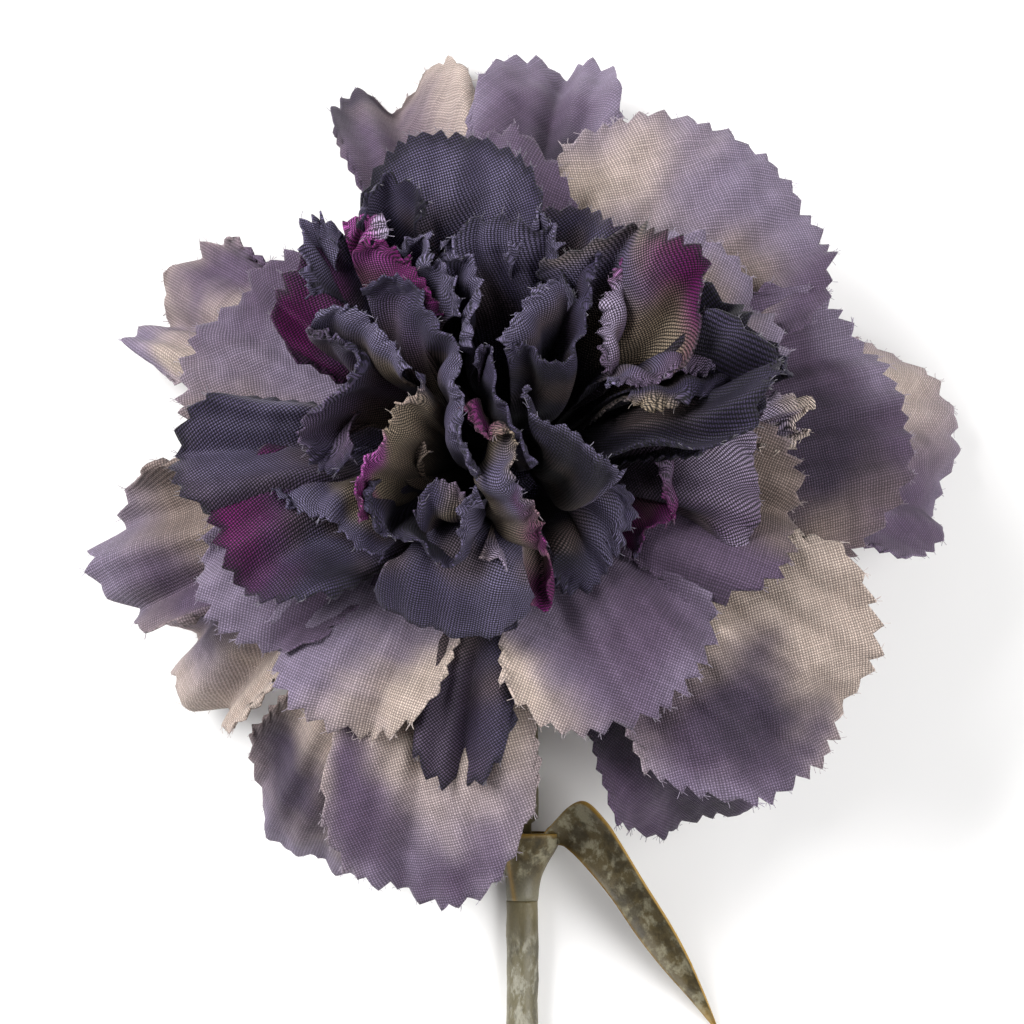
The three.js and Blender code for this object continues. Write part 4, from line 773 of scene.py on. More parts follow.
def ribbonMesh(p, seed):
    rng = np.random.default_rng(seed)
    line = spline(p["rim"], 60)[:, :3]
    length = float(np.linalg.norm(np.diff(line, axis=0), axis=1).sum())
    across, tooth = rimSteps(length, rng, p["teeth"])
    along = np.linspace(0, 1, pinking["ruffleRows"] + 1)
    u, v = np.meshgrid(across, along)
    middle, flat = ribbonSurface(p, u, v, tooth[None, :], seed)
    p = {**p, "width": length, "length": float(flat[-1, :, 1].mean()) - tiers[p["tier"]]["root"]}
    direction = math.radians(seed * cloth["ruffleTurn"] % 360)
    return clothMesh(p, u, v, middle, flat, tooth, direction, seed)


def petalMesh(p, seed):
    rng = np.random.default_rng(seed)
    across, tooth = rimSteps(p["width"] * pinking["slack"], rng, p["teeth"])
    rowCount = round(p["length"] / pinking["rowGap"])
    along = np.linspace(0, 1, rowCount + 1) ** pinking["rowPower"]
    zigzag = np.array([1, 0, -1, 0])[np.arange(rowCount + 1) % 4]
    zigzag = zigzag * rng.uniform(*pinking["sideHeights"], rowCount + 1)
    between = ease((along - 0.3) / 0.2) * ease((1 - along) / 0.02)
    sideTooth = min(p["teeth"], pinking["sideMost"]) * pinking["sideDepth"] * zigzag * between
    u, v = np.meshgrid(across, along)
    middle, flat = petalSurface(p, u, v, tooth[None, :], sideTooth[:, None], seed)
    direction = math.radians(p["azimuth"] + cloth["tierTurn"] * p["tier"])
    return clothMesh(p, u, v, middle, flat, tooth, direction, seed)


def turned(flat, angle):
    # the flat cloth turned to the petal's own direction on the blank
    c, s = math.cos(angle), math.sin(angle)
    return np.stack([flat[..., 0] * c - flat[..., 1] * s, flat[..., 0] * s + flat[..., 1] * c], -1)


def gridFaces(index):
    return np.stack([index[:-1, :-1], index[:-1, 1:], index[1:, 1:], index[1:, :-1]], -1).reshape(-1, 4)


def clothMesh(p, u, v, middle, flat, tooth, azimuth, seed):
    # the grid laid on both sides of its middle surface and walled along its outline
    normal = gridNormal(middle)
    count = u.size
    index = np.arange(count).reshape(u.shape)
    top = gridFaces(index)
    outline = np.concatenate([index[0, :-1], index[:-1, -1], index[-1, :0:-1], index[:0:-1, 0]])
    after = np.roll(outline, -1)
    wall = np.stack([after, outline, outline + count, after + count], -1)
    half = cloth["thickness"] / 2
    # rim is 1 at the cut edge and fades inwards; the sides near the root don't count
    fromSide = (1 - np.abs(u)) * p["width"] / 2 + cloth["clawClear"] * (1 - ease(3 * v - 1))
    rim = 1 - np.minimum(np.minimum((1 - v) * p["length"], fromSide) / cloth["fadeIn"], 1)
    dyeAndShade = petalDyeAndShade(p, u, v, flat, seed)
    return {"points": np.concatenate([(middle + side * normal).reshape(-1, 3) for side in (half, -half)]),
            "faces": np.concatenate([top, top[:, ::-1] + count, wall]),
            "flat": np.tile(turned(flat[..., ::-1], azimuth).reshape(-1, 2), (2, 1)),
            "dyeAndShade": np.tile(dyeAndShade.reshape(-1, 3), (2, 1)), "rim": np.tile(rim.ravel(), 2),
            "rimRow": middle[-1], "rimTooth": tooth, "rimDye": dyeAndShade[-1],
            "rimAlong": unit(np.gradient(middle, axis=0))[-1],
            "rimAcross": unit(np.gradient(middle, axis=1))[-1],
            "ruffled": "drop" in p, "area": petalArea(flat)}


def petalArea(flat):
    p, q = flat[1:, 1:] - flat[:-1, :-1], flat[1:, :-1] - flat[:-1, 1:]
    return float(np.abs(p[..., 0] * q[..., 1] - p[..., 1] * q[..., 0]).sum() / 2)


hubFacts = {"rings": 8, "spokes": 72, "dip": 0.08, "dips": 9, "tones": {1: "cream", 2: "beige", 3: "lilac"}}


def hubMesh(tier):
    # the rosette's middle, a disc of the same cloth with a hole for the peg
    radii = np.linspace(bloom["hubHole"], tiers[tier]["hub"], hubFacts["rings"])
    angles = np.linspace(0, 2 * math.pi, hubFacts["spokes"] + 1)[:-1]
    r, t = np.meshgrid(radii, angles, indexing="ij")
    height = tier * bloom["hubStep"] + hubFacts["dip"] * np.sin(hubFacts["dips"] * t) * (r / radii[-1]) ** 2
    flat = np.stack([r * np.cos(t), r * np.sin(t)], -1)
    half = cloth["thickness"] / 2
    layers = [bloomPose(np.stack([flat[..., 0], flat[..., 1], height + side], -1)) for side in (half, -half)]
    count = r.size
    index = np.arange(count).reshape(r.shape)
    following = np.roll(index, -1, axis=1)
    top = np.stack([index[:-1], index[1:], following[1:], following[:-1]], -1).reshape(-1, 4)
    inner = np.stack([index[0], following[0], following[0] + count, index[0] + count], -1)
    outer = np.stack([following[-1], index[-1], index[-1] + count, following[-1] + count], -1)
    tone = toneOf(hubFacts["tones"].get(tier, "slate"))
    return {"points": np.concatenate([x.reshape(-1, 3) for x in layers]),
            "faces": np.concatenate([top, top[:, ::-1] + count, inner, outer]),
            "flat": np.tile(turned(flat, math.radians(cloth["tierTurn"] * tier)).reshape(-1, 2), (2, 1)),
            "dyeAndShade": np.tile(tone, (2 * count, 1)), "rim": np.zeros(2 * count),
            "area": math.pi * (radii[-1] ** 2 - radii[0] ** 2)}


# Frayed threads, by Geometry Nodes
fray = {
    "perTooth": 7.0, "ruffleShare": 0.2, "length": 0.66, "thickness": 0.024, "seed": 11, "aside": 0.15,
    "inward": 0.25, "lean": (0.1, 1.1), "stray": 0.22, "sizes": (0.35, 1.5), "lowest": 0.05,
}


def rimSpots(parts, rng):
    # where threads stand out of the cut rims, and which way the loosened thread runs
    spots, lays, dyes = [], [], []
    for part in parts:
        if "rimRow" not in part:
            continue
        tips = np.flatnonzero(part["rimTooth"] > 0)[::pinking["cuts"] // 2]
        share = fray["ruffleShare"] if part["ruffled"] else 1.0
        for _ in range(int(len(tips) / 2 * fray["perTooth"] * share)):
            at = rng.choice(tips)
            along, across = part["rimAlong"][at], part["rimAcross"][at]
            toward = along + across * rng.choice([-1.0, 1.0]) * rng.uniform(*fray["lean"])
            aside = across * rng.uniform(-fray["aside"], fray["aside"])
            spots.append(part["rimRow"][at] + aside - fray["inward"] * along)
            lays.append(toward + rng.normal(0, fray["stray"], 3))
            dyes.append(part["rimDye"][at])
    return np.array(spots), np.array(lays), np.array(dyes)


def makeFrayTree():
    tree = bpy.data.node_groups.new("frayedRim", "GeometryNodeTree")
    for label, kind, value in (("Geometry", "Geometry", None), ("Length", "Float", fray["length"] * mm),
                               ("Thickness", "Float", fray["thickness"] * mm), ("Seed", "Int", fray["seed"])):
        socket = tree.interface.new_socket(label, in_out="INPUT", socket_type="NodeSocket" + kind)
        if value is not None:
            socket.default_value = value
    tree.interface.new_socket("Geometry", in_out="OUTPUT", socket_type="NodeSocketGeometry")
    given = tree.nodes.new("NodeGroupInput").outputs
    result = tree.nodes.new("NodeGroupOutput").inputs
    # one bent strand, laid along each spot's own direction with its own turn and size
    halfway = scaled(tree, (0.12, 0.05, 0.55), given["Length"])
    end = scaled(tree, (0.0, 0.22, 1.0), given["Length"])
    line = put(tree, "GeometryNodeCurveQuadraticBezier",
               {"Resolution": 5, "Start": (0.0, 0.0, 0.0), "Middle": halfway, "End": end})
    ring = put(tree, "GeometryNodeCurvePrimitiveCircle", {"Resolution": 3, "Radius": given["Thickness"]})
    strand = put(tree, "GeometryNodeCurveToMesh",
                 {"Curve": line.outputs[0], "Profile Curve": ring.outputs[0], "Fill Caps": True})
    lay = put(tree, "GeometryNodeInputNamedAttribute", {"Name": "lay"}, data_type="FLOAT_VECTOR")
    aim = put(tree, "FunctionNodeAlignRotationToVector", {"Vector": lay.outputs[0]}, axis="Z")
    spin = put(tree, "FunctionNodeRandomValue",
               {"Min": (0.0, 0.0, -3.1), "Max": (0.0, 0.0, 3.1), "Seed": given["Seed"]},
               data_type="FLOAT_VECTOR")
    turn = put(tree, "FunctionNodeRotateRotation",
               {"Rotation": aim.outputs[0], "Rotate By": spin.outputs[0]}, rotation_space="LOCAL")
    smallest, largest = fray["sizes"]
    size = put(tree, "FunctionNodeRandomValue", {2: smallest, 3: largest, "Seed": given["Seed"]},
               data_type="FLOAT")
    placed = put(tree, "GeometryNodeInstanceOnPoints",
                 {"Points": given["Geometry"], "Instance": strand.outputs[0], "Rotation": turn.outputs[0],
                  "Scale": size.outputs[1]})
    real = put(tree, "GeometryNodeRealizeInstances", {0: placed.outputs[0]})
    dressed = put(tree, "GeometryNodeSetMaterial",
                  {"Geometry": real.outputs[0], "Material": threadMaterial})
    link(tree, dressed.outputs[0], result["Geometry"])
    return tree


frayTree = makeFrayTree()


def makeThreads(name, parts, seed):
    spots, lays, dyes = rimSpots(parts, np.random.default_rng(seed))
    mesh = bpy.data.meshes.new("rimSpots")
    mesh.from_pydata((spots + designShift) * mm, [], [])
    cloud = bpy.data.objects.new("rimSpots", mesh)
    bpy.context.scene.collection.objects.link(cloud)
    addPointValues(cloud, "lay", lays, "FLOAT_VECTOR")
    addPointValues(cloud, "dyeAndShade", np.column_stack([dyes, np.ones(len(dyes))]), "FLOAT_COLOR")
    modifier = cloud.modifiers.new("frayedRim", "NODES")
    modifier.node_group = frayTree
    for socket in frayTree.interface.items_tree:
        if socket.in_out == "INPUT" and socket.name == "Seed":
            modifier[socket.identifier] = fray["seed"] + seed
    shown = cloud.evaluated_get(bpy.context.evaluated_depsgraph_get())
    mesh = bpy.data.meshes.new_from_object(shown)
    bpy.data.objects.remove(cloud)
    mesh.name = name
    # no strand pokes through the table
    if min(vertex.co.z for vertex in mesh.vertices) < 0:
        for vertex in mesh.vertices:
            vertex.co.z = max(vertex.co.z, fray["lowest"] * mm)
    piece = bpy.data.objects.new(name, mesh)
    bpy.context.scene.collection.objects.link(piece)
    return piece


def makeRosette(tier):
    fans = [petalMesh(p, 100 * tier + 7 * i) for i, p in enumerate(petals) if p["tier"] == tier]
    ruffles = [ribbonMesh(p, 1000 * tier + 7 * i) for i, p in enumerate(ribbons) if p["tier"] == tier]
    parts = fans + ruffles + [hubMesh(tier)]
    sizes = np.cumsum([0] + [len(part["points"]) for part in parts])
    faces = np.concatenate([part["faces"] + start for part, start in zip(parts, sizes)])
    points = np.concatenate([part["points"] for part in parts])
    name, slotName = f"rosette{tier}", tiers[tier]["slot"]
    piece = addMesh(name, points, faces, clothMaterials[slotName])
    addClothMap(piece, np.concatenate([part["flat"] for part in parts]))
    dyeAndShade = np.concatenate([part["dyeAndShade"] for part in parts])
    addPointValues(piece, "dyeAndShade", np.column_stack([dyeAndShade, np.ones(len(dyeAndShade))]), "FLOAT_COLOR")
    addPointValues(piece, "rim", np.concatenate([part["rim"] for part in parts]))
    addPiece(piece, f"petals_tier_{tier}")
    threads = makeThreads(f"frayedThreads{tier}", parts, tier)
    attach(threads, "root")


for tier in tiers:
    makeRosette(tier)

plasticLook = {
    "stem": {"ground": "#625c46", "powder": "#8f8c7e", "stain": "#3c3726", "seam": "#977b30",
             "next": "#655b3c", "size": 640.0, "stretch": (1.0, 0.45, 1.0)},
    "leaf": {"ground": "#574c31", "powder": "#88826b", "stain": "#352d1b", "seam": "#a98229",
             "next": "#74705e", "size": 600.0, "stretch": (1.0, 0.8, 1.0)},
    "calyx": {"ground": "#747656", "powder": "#a9a991", "stain": "#53553c", "seam": "#a9984f",
              "next": "#747656", "size": 300.0, "stretch": (1.0, 1.0, 1.0)},
}
plasticCoat = {
    "low": 0.46, "high": 0.6, "stainSize": 0.55, "stainShare": 0.8, "bare": 0.42, "powdered": 0.72,
    "bumpHeight": 0.05, "bumpStrength": 0.6,
}
wireLook = {"dark": "#77777a", "bright": "#9b9b9d", "size": 2500.0, "stretch": (1.0, 0.05, 1.0)}


def stretchedPlace(tree, stretch):
    place = put(tree, "ShaderNodeTexCoord").outputs["Object"]
    return put(tree, "ShaderNodeMapping", {"Vector": place, "Scale": stretch}).outputs[0]


def makePlasticMaterial(part):
    # ground tone, powder and stains, the tone of the neighbouring piece, then the mould line
    material, tree, shader = startMaterial(part + "Plastic")
    look, coat = plasticLook[part], plasticCoat
    place = stretchedPlace(tree, look["stretch"])
    mottle = {"Place": place, "Size": look["size"], "Low": coat["low"], "High": coat["high"]}
    powder = useGroup(tree, mottleGroup, mottle)
    stain = useGroup(tree, mottleGroup, {**mottle, "Size": look["size"] * coat["stainSize"]})
    stained = calc(tree, "MULTIPLY", stain["Mask"], coat["stainShare"])
    tone = mixTone(tree, powder["Mask"], colour(look["ground"]), colour(look["powder"]))
    tone = mixTone(tree, stained, tone, colour(look["stain"]))
    tone = mixTone(tree, readAttribute(tree, "toward")["Fac"], tone, colour(look["next"]))
    tone = mixTone(tree, readAttribute(tree, "edge")["Fac"], tone, colour(look["seam"]))
    grain = remap(tree, powder["Grain"], 0.3, 0.7, 0.9, 1.1)
    link(tree, scaled(tree, tone, grain), shader.inputs["Base Color"])
    roughness = remap(tree, powder["Mask"], 0.0, 1.0, coat["bare"], coat["powdered"])
    link(tree, roughness, shader.inputs["Roughness"])
    bump = put(tree, "ShaderNodeBump", {"Height": powder["Grain"], "Distance": coat["bumpHeight"] * mm,
                                        "Strength": coat["bumpStrength"]})
    link(tree, bump.outputs[0], shader.inputs["Normal"])
    shader.inputs["Specular IOR Level"].default_value = 0.4
    return material


def makeWireMaterial():
    material, tree, shader = startMaterial("drawnWire")
    place = stretchedPlace(tree, wireLook["stretch"])
    lines = useGroup(tree, mottleGroup, {"Place": place, "Size": wireLook["size"], "Low": 0.35, "High": 0.65})
    tone = mixTone(tree, lines["Mask"], colour(wireLook["dark"]), colour(wireLook["bright"]))
    link(tree, tone, shader.inputs["Base Color"])
    link(tree, remap(tree, lines["Mask"], 0.0, 1.0, 0.28, 0.5), shader.inputs["Roughness"])
    shader.inputs["Metallic"].default_value = 1.0
    return material


stemMaterial = makePlasticMaterial("stem")
leafMaterial = makePlasticMaterial("leaf")
calyxMaterial = makePlasticMaterial("calyx")
wireMaterial = makeWireMaterial()


def ringFaces(rings, columns, closed, capped=True):
    # quads between neighbouring rings of a tube, and a fan on each end where it is capped
    index = np.arange(rings * columns).reshape(rings, columns)
    following = np.roll(index, -1, axis=1)
    upper = np.roll(index, -1, axis=0) if closed else index[1:]
    upperFollowing = np.roll(following, -1, axis=0) if closed else following[1:]
    lower, lowerFollowing = (index, following) if closed else (index[:-1], following[:-1])
    faces = [np.stack([lower, lowerFollowing, upperFollowing, upper], -1).reshape(-1, 4)]
    if capped and not closed:
        first, last = rings * columns, rings * columns + 1
        faces.append(np.stack([following[0], index[0], np.full(columns, first)], -1))
        faces.append(np.stack([index[-1], following[-1], np.full(columns, last)], -1))
    return faces


def tube(rings, closed=False):
    # points and faces of a tube through rings (count, columns, 3)
    rings = np.asarray(rings)
    points = rings.reshape(-1, 3)
    if not closed:
        points = np.vstack([points, rings[0].mean(0), rings[-1].mean(0)])
    return points, ringFaces(len(rings), rings.shape[1], closed)


def turnOut(points, faces):
    # flips every face if the closed surface holds a negative volume
    total = 0.0
    for group in faces:
        a = points[group[:, 0]]
        for k in range(1, group.shape[1] - 1):
            total += np.einsum("ij,ij->i", a, np.cross(points[group[:, k]], points[group[:, k + 1]])).sum()
    return faces if total > 0 else [group[:, ::-1] for group in faces]


def joined(parts):
    points, faces, start = [], [], 0
    for spots, groups in parts:
        groups = turnOut(spots - spots.mean(0), groups)
        points.append(spots)
        faces += [group + start for group in groups]
        start += len(spots)
    return np.vstack(points), faces


def ringAround(centre, direction, radius, columns, bumps=0.0, seed=0):
    direction = np.asarray(direction) / np.linalg.norm(direction)
    side = np.cross((1.0, 0.0, 0.0), direction)
    side /= np.linalg.norm(side)
    other = np.cross(direction, side)
    angles = np.linspace(0, 2 * math.pi, columns + 1)[:-1]
    size = radius * (1 + bumps * np.sin(3 * angles + 0.7 * seed) * math.sin(1.3 * seed))
    return centre + size[:, None] * (np.cos(angles)[:, None] * other + np.sin(angles)[:, None] * side)


def onAxis(height):
    return bloomPose(np.array([0.0, 0.0, height]))


bloomUp = onAxis(1.0) - onAxis(0.0)
calyxFacts = {
    "foot": -13.0, "hole": 2.1, "teeth": 5, "toothTop": 0.5, "toothRoot": -3.5, "columns": 140, "rows": 26,
    "turn": 20, "notch": 0.45, "rib": 0.012, "ribs": 10,
    "outside": [(3.2, 0.0), (4.2, 0.1), (4.85, 0.38), (5.15, 0.72), (5.55, 1.0)],
    "inside": [(5.05, 1.0), (4.6, 0.72), (4.2, 0.4), (3.4, 0.13), (2.4, 0.1)],
}
# the stem's flange and peg under and through the rosettes, as (radius, height on the bloom's axis)
pegFacts = {
    "neckTop": 0.0, "flange": [(3.5, -1.1), (4.1, 0.3), (3.95, 0.5)], "flangeColumns": 48,
    "pin": [(0.9, 0.0), (0.9, 11.2), (1.1, 11.3), (0.75, 12.2), (0.5, 12.3)], "pinColumns": 24,
}
stemFinish = {"columns": 40, "step": 1.2, "lump": 0.035, "wave": 0.05, "seamWidth": 0.12, "seam": 0.35}


def kneePoints(count):
    start = np.array([stemFacts["axisX"], stemFacts["kneeStart"], stemFacts["axisZ"]])
    end = onAxis(calyxFacts["foot"])
    first = start + (0, stemFacts["kneeReach"], 0)
    second = end - stemFacts["kneeReach"] * bloomUp
    t = np.linspace(0, 1, count)[:, None]
    spots = (1 - t) ** 3 * start + 3 * (1 - t) ** 2 * t * first + 3 * (1 - t) * t ** 2 * second + t ** 3 * end
    tangents = 3 * (1 - t) ** 2 * (first - start) + 6 * (1 - t) * t * (second - first)
    return spots, tangents + 3 * t ** 2 * (end - second)


def stemPath(stations, kneeRadius, neckTop, columns, lump=0.0):
    along = np.array([0.0, 1.0, 0.0])
    rings = []
    for i, (y, radius) in enumerate(stations):
        centre = np.array([stemFacts["axisX"], y, stemFacts["axisZ"]])
        rings.append(ringAround(centre, along, radius, columns, lump, i))
    for spot, tangent in zip(*kneePoints(14)):
        rings.append(ringAround(spot, tangent, kneeRadius, columns))
    rings.append(ringAround(onAxis(neckTop), bloomUp, kneeRadius, columns))
    return rings


def axisRod(profile, columns):
    # a turned piece on the bloom's axis through (radius, height) pairs, closed at both ends
    return tube([ringAround(onAxis(height), bloomUp, radius, columns) for radius, height in profile])


def makeStem():
    facts = stemFacts
    upper = facts["radius"] - 0.05
    spots = np.arange(facts["cutEnd"] + 0.6, facts["seatFrom"] - 0.2, stemFinish["step"])
    swell = 1 - stemFinish["wave"] * (0.5 + 0.5 * np.sin(spots * 0.9) * np.sin(spots * 0.37 + 1))
    outline = [(facts["cutEnd"], facts["radius"] - 0.15), (facts["cutEnd"] + 0.2, facts["radius"] - 0.03)]
    outline += list(zip(spots, facts["radius"] * swell))
    outline += [(facts["seatFrom"] - 0.02, facts["radius"] - 0.05), (facts["seatFrom"], facts["seatRadius"]),
                (facts["seatTo"], facts["seatRadius"]), (facts["seatTo"] + 0.6, upper)]
    outline += [(y, upper) for y in np.arange(facts["seatTo"] + 2, facts["kneeStart"], 2.0)]
    columns = stemFinish["columns"]
    outer = stemPath(outline, upper, pegFacts["neckTop"], columns, stemFinish["lump"])
    inner = stemPath([(facts["cutEnd"], facts["bore"]), (facts["seatFrom"], facts["bore"])], facts["bore"],
                     calyxFacts["foot"] + 4, columns)
    body = tube(inner[::-1] + outer)
    flange = axisRod(pegFacts["flange"], pegFacts["flangeColumns"])
    pin = axisRod(pegFacts["pin"], pegFacts["pinColumns"])
    points, faces = joined([body, flange, pin])
    points[:, 2] = np.maximum(points[:, 2], 0.0)  # pressed flat where it lies on the table
    piece = addMesh("stemBody", points, faces, stemMaterial)
    # the mould line runs along both sides of the stem
    seam = np.exp(-((points[:, 2] - facts["axisZ"]) / stemFinish["seamWidth"]) ** 2)
    addPointValues(piece, "edge", stemFinish["seam"] * seam * (points[:, 1] < facts["kneeStart"]))
    addPointValues(piece, "toward", 0.75 * ease((points[:, 1] - facts["seatFrom"] + 6) / 6))
    addPiece(piece, "stem")


def makeWire():
    cut, radius = stemFacts["cutEnd"] + 0.5, stemFacts["wire"]
    stations = [(cut, radius - 0.05), (cut + 0.06, radius), (stemFacts["seatFrom"], radius)]
    points, faces = joined([tube(stemPath(stations, radius, calyxFacts["foot"] + 3.6, 16))])
    addPiece(addMesh("coreWire", points, faces, wireMaterial), "stem_wire")


def makeCalyx():
    facts = calyxFacts
    outside, inside = spline(facts["outside"], facts["rows"]), spline(facts["inside"], facts["rows"])
    angles = np.linspace(0, 2 * math.pi, facts["columns"] + 1)[:-1]
    # rounded teeth, parted by deep notches
    pitch = 360 / facts["teeth"]
    turn = (np.degrees(angles) - facts["turn"]) % pitch / pitch
    tooth = np.clip(np.minimum(turn, 1 - turn) * 2 / facts["notch"], 0, 1) ** 0.9
    rimHeight = facts["toothRoot"] + (facts["toothTop"] - facts["toothRoot"]) * tooth
    rib = 1 + facts["rib"] * np.cos(facts["ribs"] * angles)
    rings = []
    for radius, share in [(facts["hole"], 0.0), *outside, *inside, (facts["hole"], 0.1)]:
        height = facts["foot"] + share * (rimHeight - facts["foot"])
        spots = np.stack([radius * rib * np.cos(angles), radius * rib * np.sin(angles), height], -1)
        rings.append(bloomPose(spots))
    points, faces = tube(rings, closed=True)
    faces = turnOut(points - points.mean(0), faces)
    piece = addMesh("calyxCup", points, faces, calyxMaterial)
    share = np.array([0.0, *outside[:, 1], *inside[:, 1], 0.1]).repeat(facts["columns"])
    addPointValues(piece, "edge", 0.8 * np.clip((share - 0.93) / 0.07, 0, 1))
    addPiece(piece, "calyx")


# Sleeve stations are (along Y, centre X, centre Z, half width, half height); blade stations are the lower
# and the upper edge, each (x, y, z).
leafFacts = {
    "sleeveOutside": [(-46.48, 1.15, 1.8, 1.74, 1.74), (-44.2, 1.25, 1.95, 1.95, 1.9),
                      (-42.4, 1.45, 2.3, 2.5, 2.2), (-40.6, 1.8, 2.8, 3.2, 2.7), (-39.0, 2.1, 3.1, 3.5, 3.0)],
    "sleeveInside": [(-46.48, 1.15, 1.77, 1.38, 1.38), (-43.6, 1.15, 1.77, 1.42, 1.4),
                     (-42.4, 1.4, 2.2, 2.05, 1.85), (-40.6, 1.75, 2.75, 2.7, 2.3),
                     (-38.9, 1.9, 2.9, 2.9, 2.45)],
    "blade": [((5.1, -39.9, 3.6), (3.6, -38.7, 5.5)), ((5.9, -40.2, 4.6), (5.3, -36.9, 6.6)),
              ((6.6, -40.9, 5.6), (7.7, -35.2, 7.6)), ((7.9, -42.3, 6.1), (10.2, -37.3, 7.8)),
              ((9.5, -44.2, 6.0), (12.1, -40.1, 7.3)), ((11.2, -46.4, 5.4), (14.5, -44.1, 6.4)),
              ((13.9, -50.4, 4.1), (17.6, -49.1, 4.8)), ((16.8, -54.1, 2.8), (19.7, -53.1, 3.3)),
              ((19.6, -57.2, 1.7), (21.4, -57.1, 1.9)), ((22.3, -60.6, 0.7), (22.8, -60.6, 0.7))],
    "thickness": 0.55, "rim": 0.9, "channel": 0.45, "ripple": 0.12, "ripples": 17,
    "stations": 90, "across": 20, "sleeveColumns": 48, "sleeveRows": 26,
    "mouthLine": -39.4, "seamX": -7.18, "seamSlant": -0.16, "seamWidth": 0.22, "seamAbove": 2.2,
}


def makeLeaf():
    facts = leafFacts
    angles = np.linspace(0, 2 * math.pi, facts["sleeveColumns"] + 1)[:-1]

    def oval(station):
        y, x, z, halfWidth, halfHeight = station
        return np.stack([x + halfWidth * np.cos(angles), np.full_like(angles, y),
                         z + halfHeight * np.sin(angles)], -1)

    outside = [oval(station) for station in spline(facts["sleeveOutside"], facts["sleeveRows"])]
    inside = [oval(station) for station in spline(facts["sleeveInside"], facts["sleeveRows"])]
    sleevePoints, sleeveFaces = tube(outside + inside[::-1], closed=True)

    # the blade, from its lower to its upper edge, thicker along its rim and hollow between
    low = spline([lower for lower, _ in facts["blade"]], facts["stations"])
    high = spline([upper for _, upper in facts["blade"]], facts["stations"])
    across = (1 - np.cos(np.linspace(0, math.pi, facts["across"]))) / 2
    width = np.linalg.norm(high - low, axis=1)
    normal = np.cross(high - low, np.gradient(low, axis=0))
    normal /= np.linalg.norm(normal, axis=1, keepdims=True)
    normal[normal[:, 2] < 0] *= -1
    shape = 1 - (2 * across - 1) ** 2
    edge = np.clip(1 - shape / 0.25, 0, 1)
    thicker = (facts["rim"] - facts["thickness"]) * np.exp(-((shape - 0.12) / 0.12) ** 2)
    half = (facts["thickness"] + thicker) / 2 * np.sqrt(np.clip(shape / 0.08, 0.02, 1))
    ripple = facts["ripple"] * np.sin(np.linspace(0, facts["ripples"], facts["stations"]))
    ripple = ripple[:, None] * shape[None, :]
    dip = -facts["channel"] * shape[None, :] ** 1.5 * np.clip(width / 2.5, 0, 1)[:, None] + ripple
    thin = np.clip(width / 1.6, 0.35, 1)[:, None]
    base = low[:, None] + (high - low)[:, None] * across[None, :, None]
    upper = base + (dip + half[None, :] * thin)[..., None] * normal[:, None]
    lower = base + (dip - half[None, :] * thin)[..., None] * normal[:, None]
    rings = np.concatenate([upper, lower[:, ::-1]], axis=1)
    bladePoints, bladeFaces = tube(rings)
    points, faces = joined([(sleevePoints, sleeveFaces), (bladePoints, bladeFaces)])
    piece = addMesh("leafBlade", points, faces, leafMaterial)
    # the mould line: the blade's rim and tip, the sleeve's mouth and one line along its side
    bladeEdge = np.tile(np.concatenate([edge, edge[::-1]]), (facts["stations"], 1)).ravel()
    nearTip = np.clip((np.arange(facts["stations"]) / facts["stations"] - 0.9) / 0.1, 0, 1)
    bladeEdge = np.maximum(bladeEdge, 0.8 * nearTip.repeat(2 * facts["across"]))
    x, y, z = sleevePoints.T
    mouth = 0.5 * np.clip((y - facts["mouthLine"]) / 0.4, 0, 1)
    offSeam = x - facts["seamX"] - facts["seamSlant"] * y
    seam = 0.6 * np.exp(-(offSeam / facts["seamWidth"]) ** 2) * (z > facts["seamAbove"])
    addPointValues(piece, "edge", np.concatenate([np.maximum(mouth, seam), bladeEdge, [0.6, 0.9]]))
    stemward = 0.85 * (1 - ease((y + 46.4) / 4))
    addPointValues(piece, "toward", np.concatenate([stemward, np.zeros(len(bladePoints))]))
    addPiece(piece, "leaf")


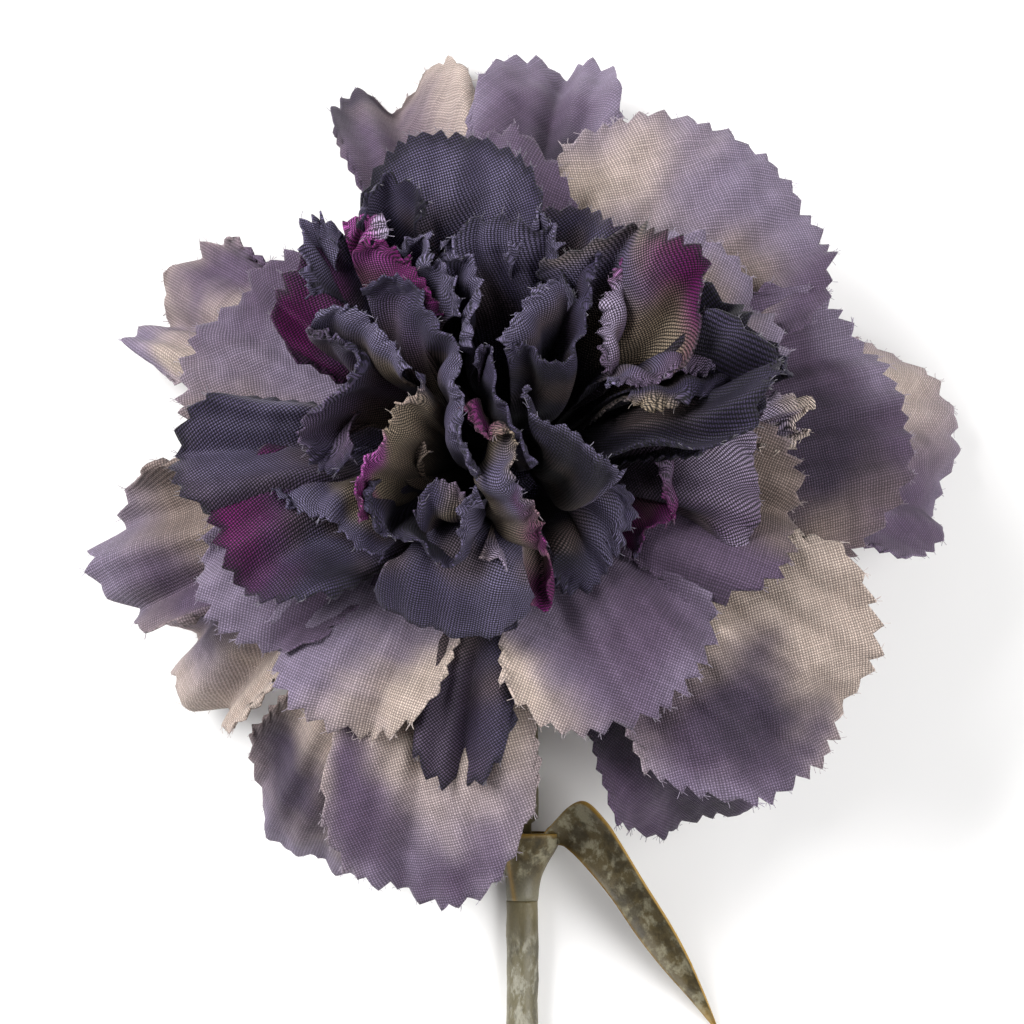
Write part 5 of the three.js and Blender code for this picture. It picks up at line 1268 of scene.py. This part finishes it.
makeStem()
makeWire()
makeCalyx()
makeLeaf()
print("stem, wire, calyx and leaf ready")

studio = {
    "floorSize": 4.0, "floorTone": "#fbfaf9", "shadedTone": 0.985,
    "world": 0.28, "worldTone": (0.97, 0.98, 1.0, 1.0),
    "keyLight": {"power": 23.0, "size": 0.7, "place": (-0.75, 0.45, 0.8)},
    "fillLight": {"power": 13.0, "size": 0.9, "place": (0.75, -0.1, 0.8)},
}


def makeFloor():
    half = studio["floorSize"] / 2
    material, tree, shader = startMaterial("paleTable")
    place = put(tree, "ShaderNodeTexCoord").outputs["Object"]
    cloud = noise(tree, place, 60.0, 3.0)[0]
    pale = colour(studio["floorTone"])
    shaded = tuple(c * studio["shadedTone"] for c in pale[:3]) + (1.0,)
    link(tree, mixTone(tree, cloud, pale, shaded), shader.inputs["Base Color"])
    shader.inputs["Roughness"].default_value = 0.8
    shader.inputs["Specular IOR Level"].default_value = 0.1
    mesh = bpy.data.meshes.new("table")
    corners = [(-half, -half, 0), (half, -half, 0), (half, half, 0), (-half, half, 0)]
    mesh.from_pydata(corners, [], [(0, 1, 2, 3)])
    mesh.materials.append(material)
    floor = bpy.data.objects.new("table", mesh)
    bpy.context.scene.collection.objects.link(floor)


def makeLight(name, power, size, place, target):
    data = bpy.data.lights.new(name, "AREA")
    data.energy = power
    data.size = size
    lamp = bpy.data.objects.new(name, data)
    lamp.location = Vector(place)
    lamp.rotation_euler = (Vector(target) - Vector(place)).to_track_quat("-Z", "Y").to_euler()
    bpy.context.scene.collection.objects.link(lamp)


def makeStudio():
    makeFloor()
    middle = Vector((designShift[0], designShift[1], 30)) * mm
    for name in ("keyLight", "fillLight"):
        facts = studio[name]
        makeLight(name, facts["power"], facts["size"], middle + Vector(facts["place"]), middle)
    world = bpy.data.worlds.new("studio")
    world.use_nodes = True
    world.node_tree.nodes["Background"].inputs[0].default_value = studio["worldTone"]
    world.node_tree.nodes["Background"].inputs[1].default_value = studio["world"]
    bpy.context.scene.world = world
    bpy.context.scene.view_settings.view_transform = "Standard"


makeStudio()
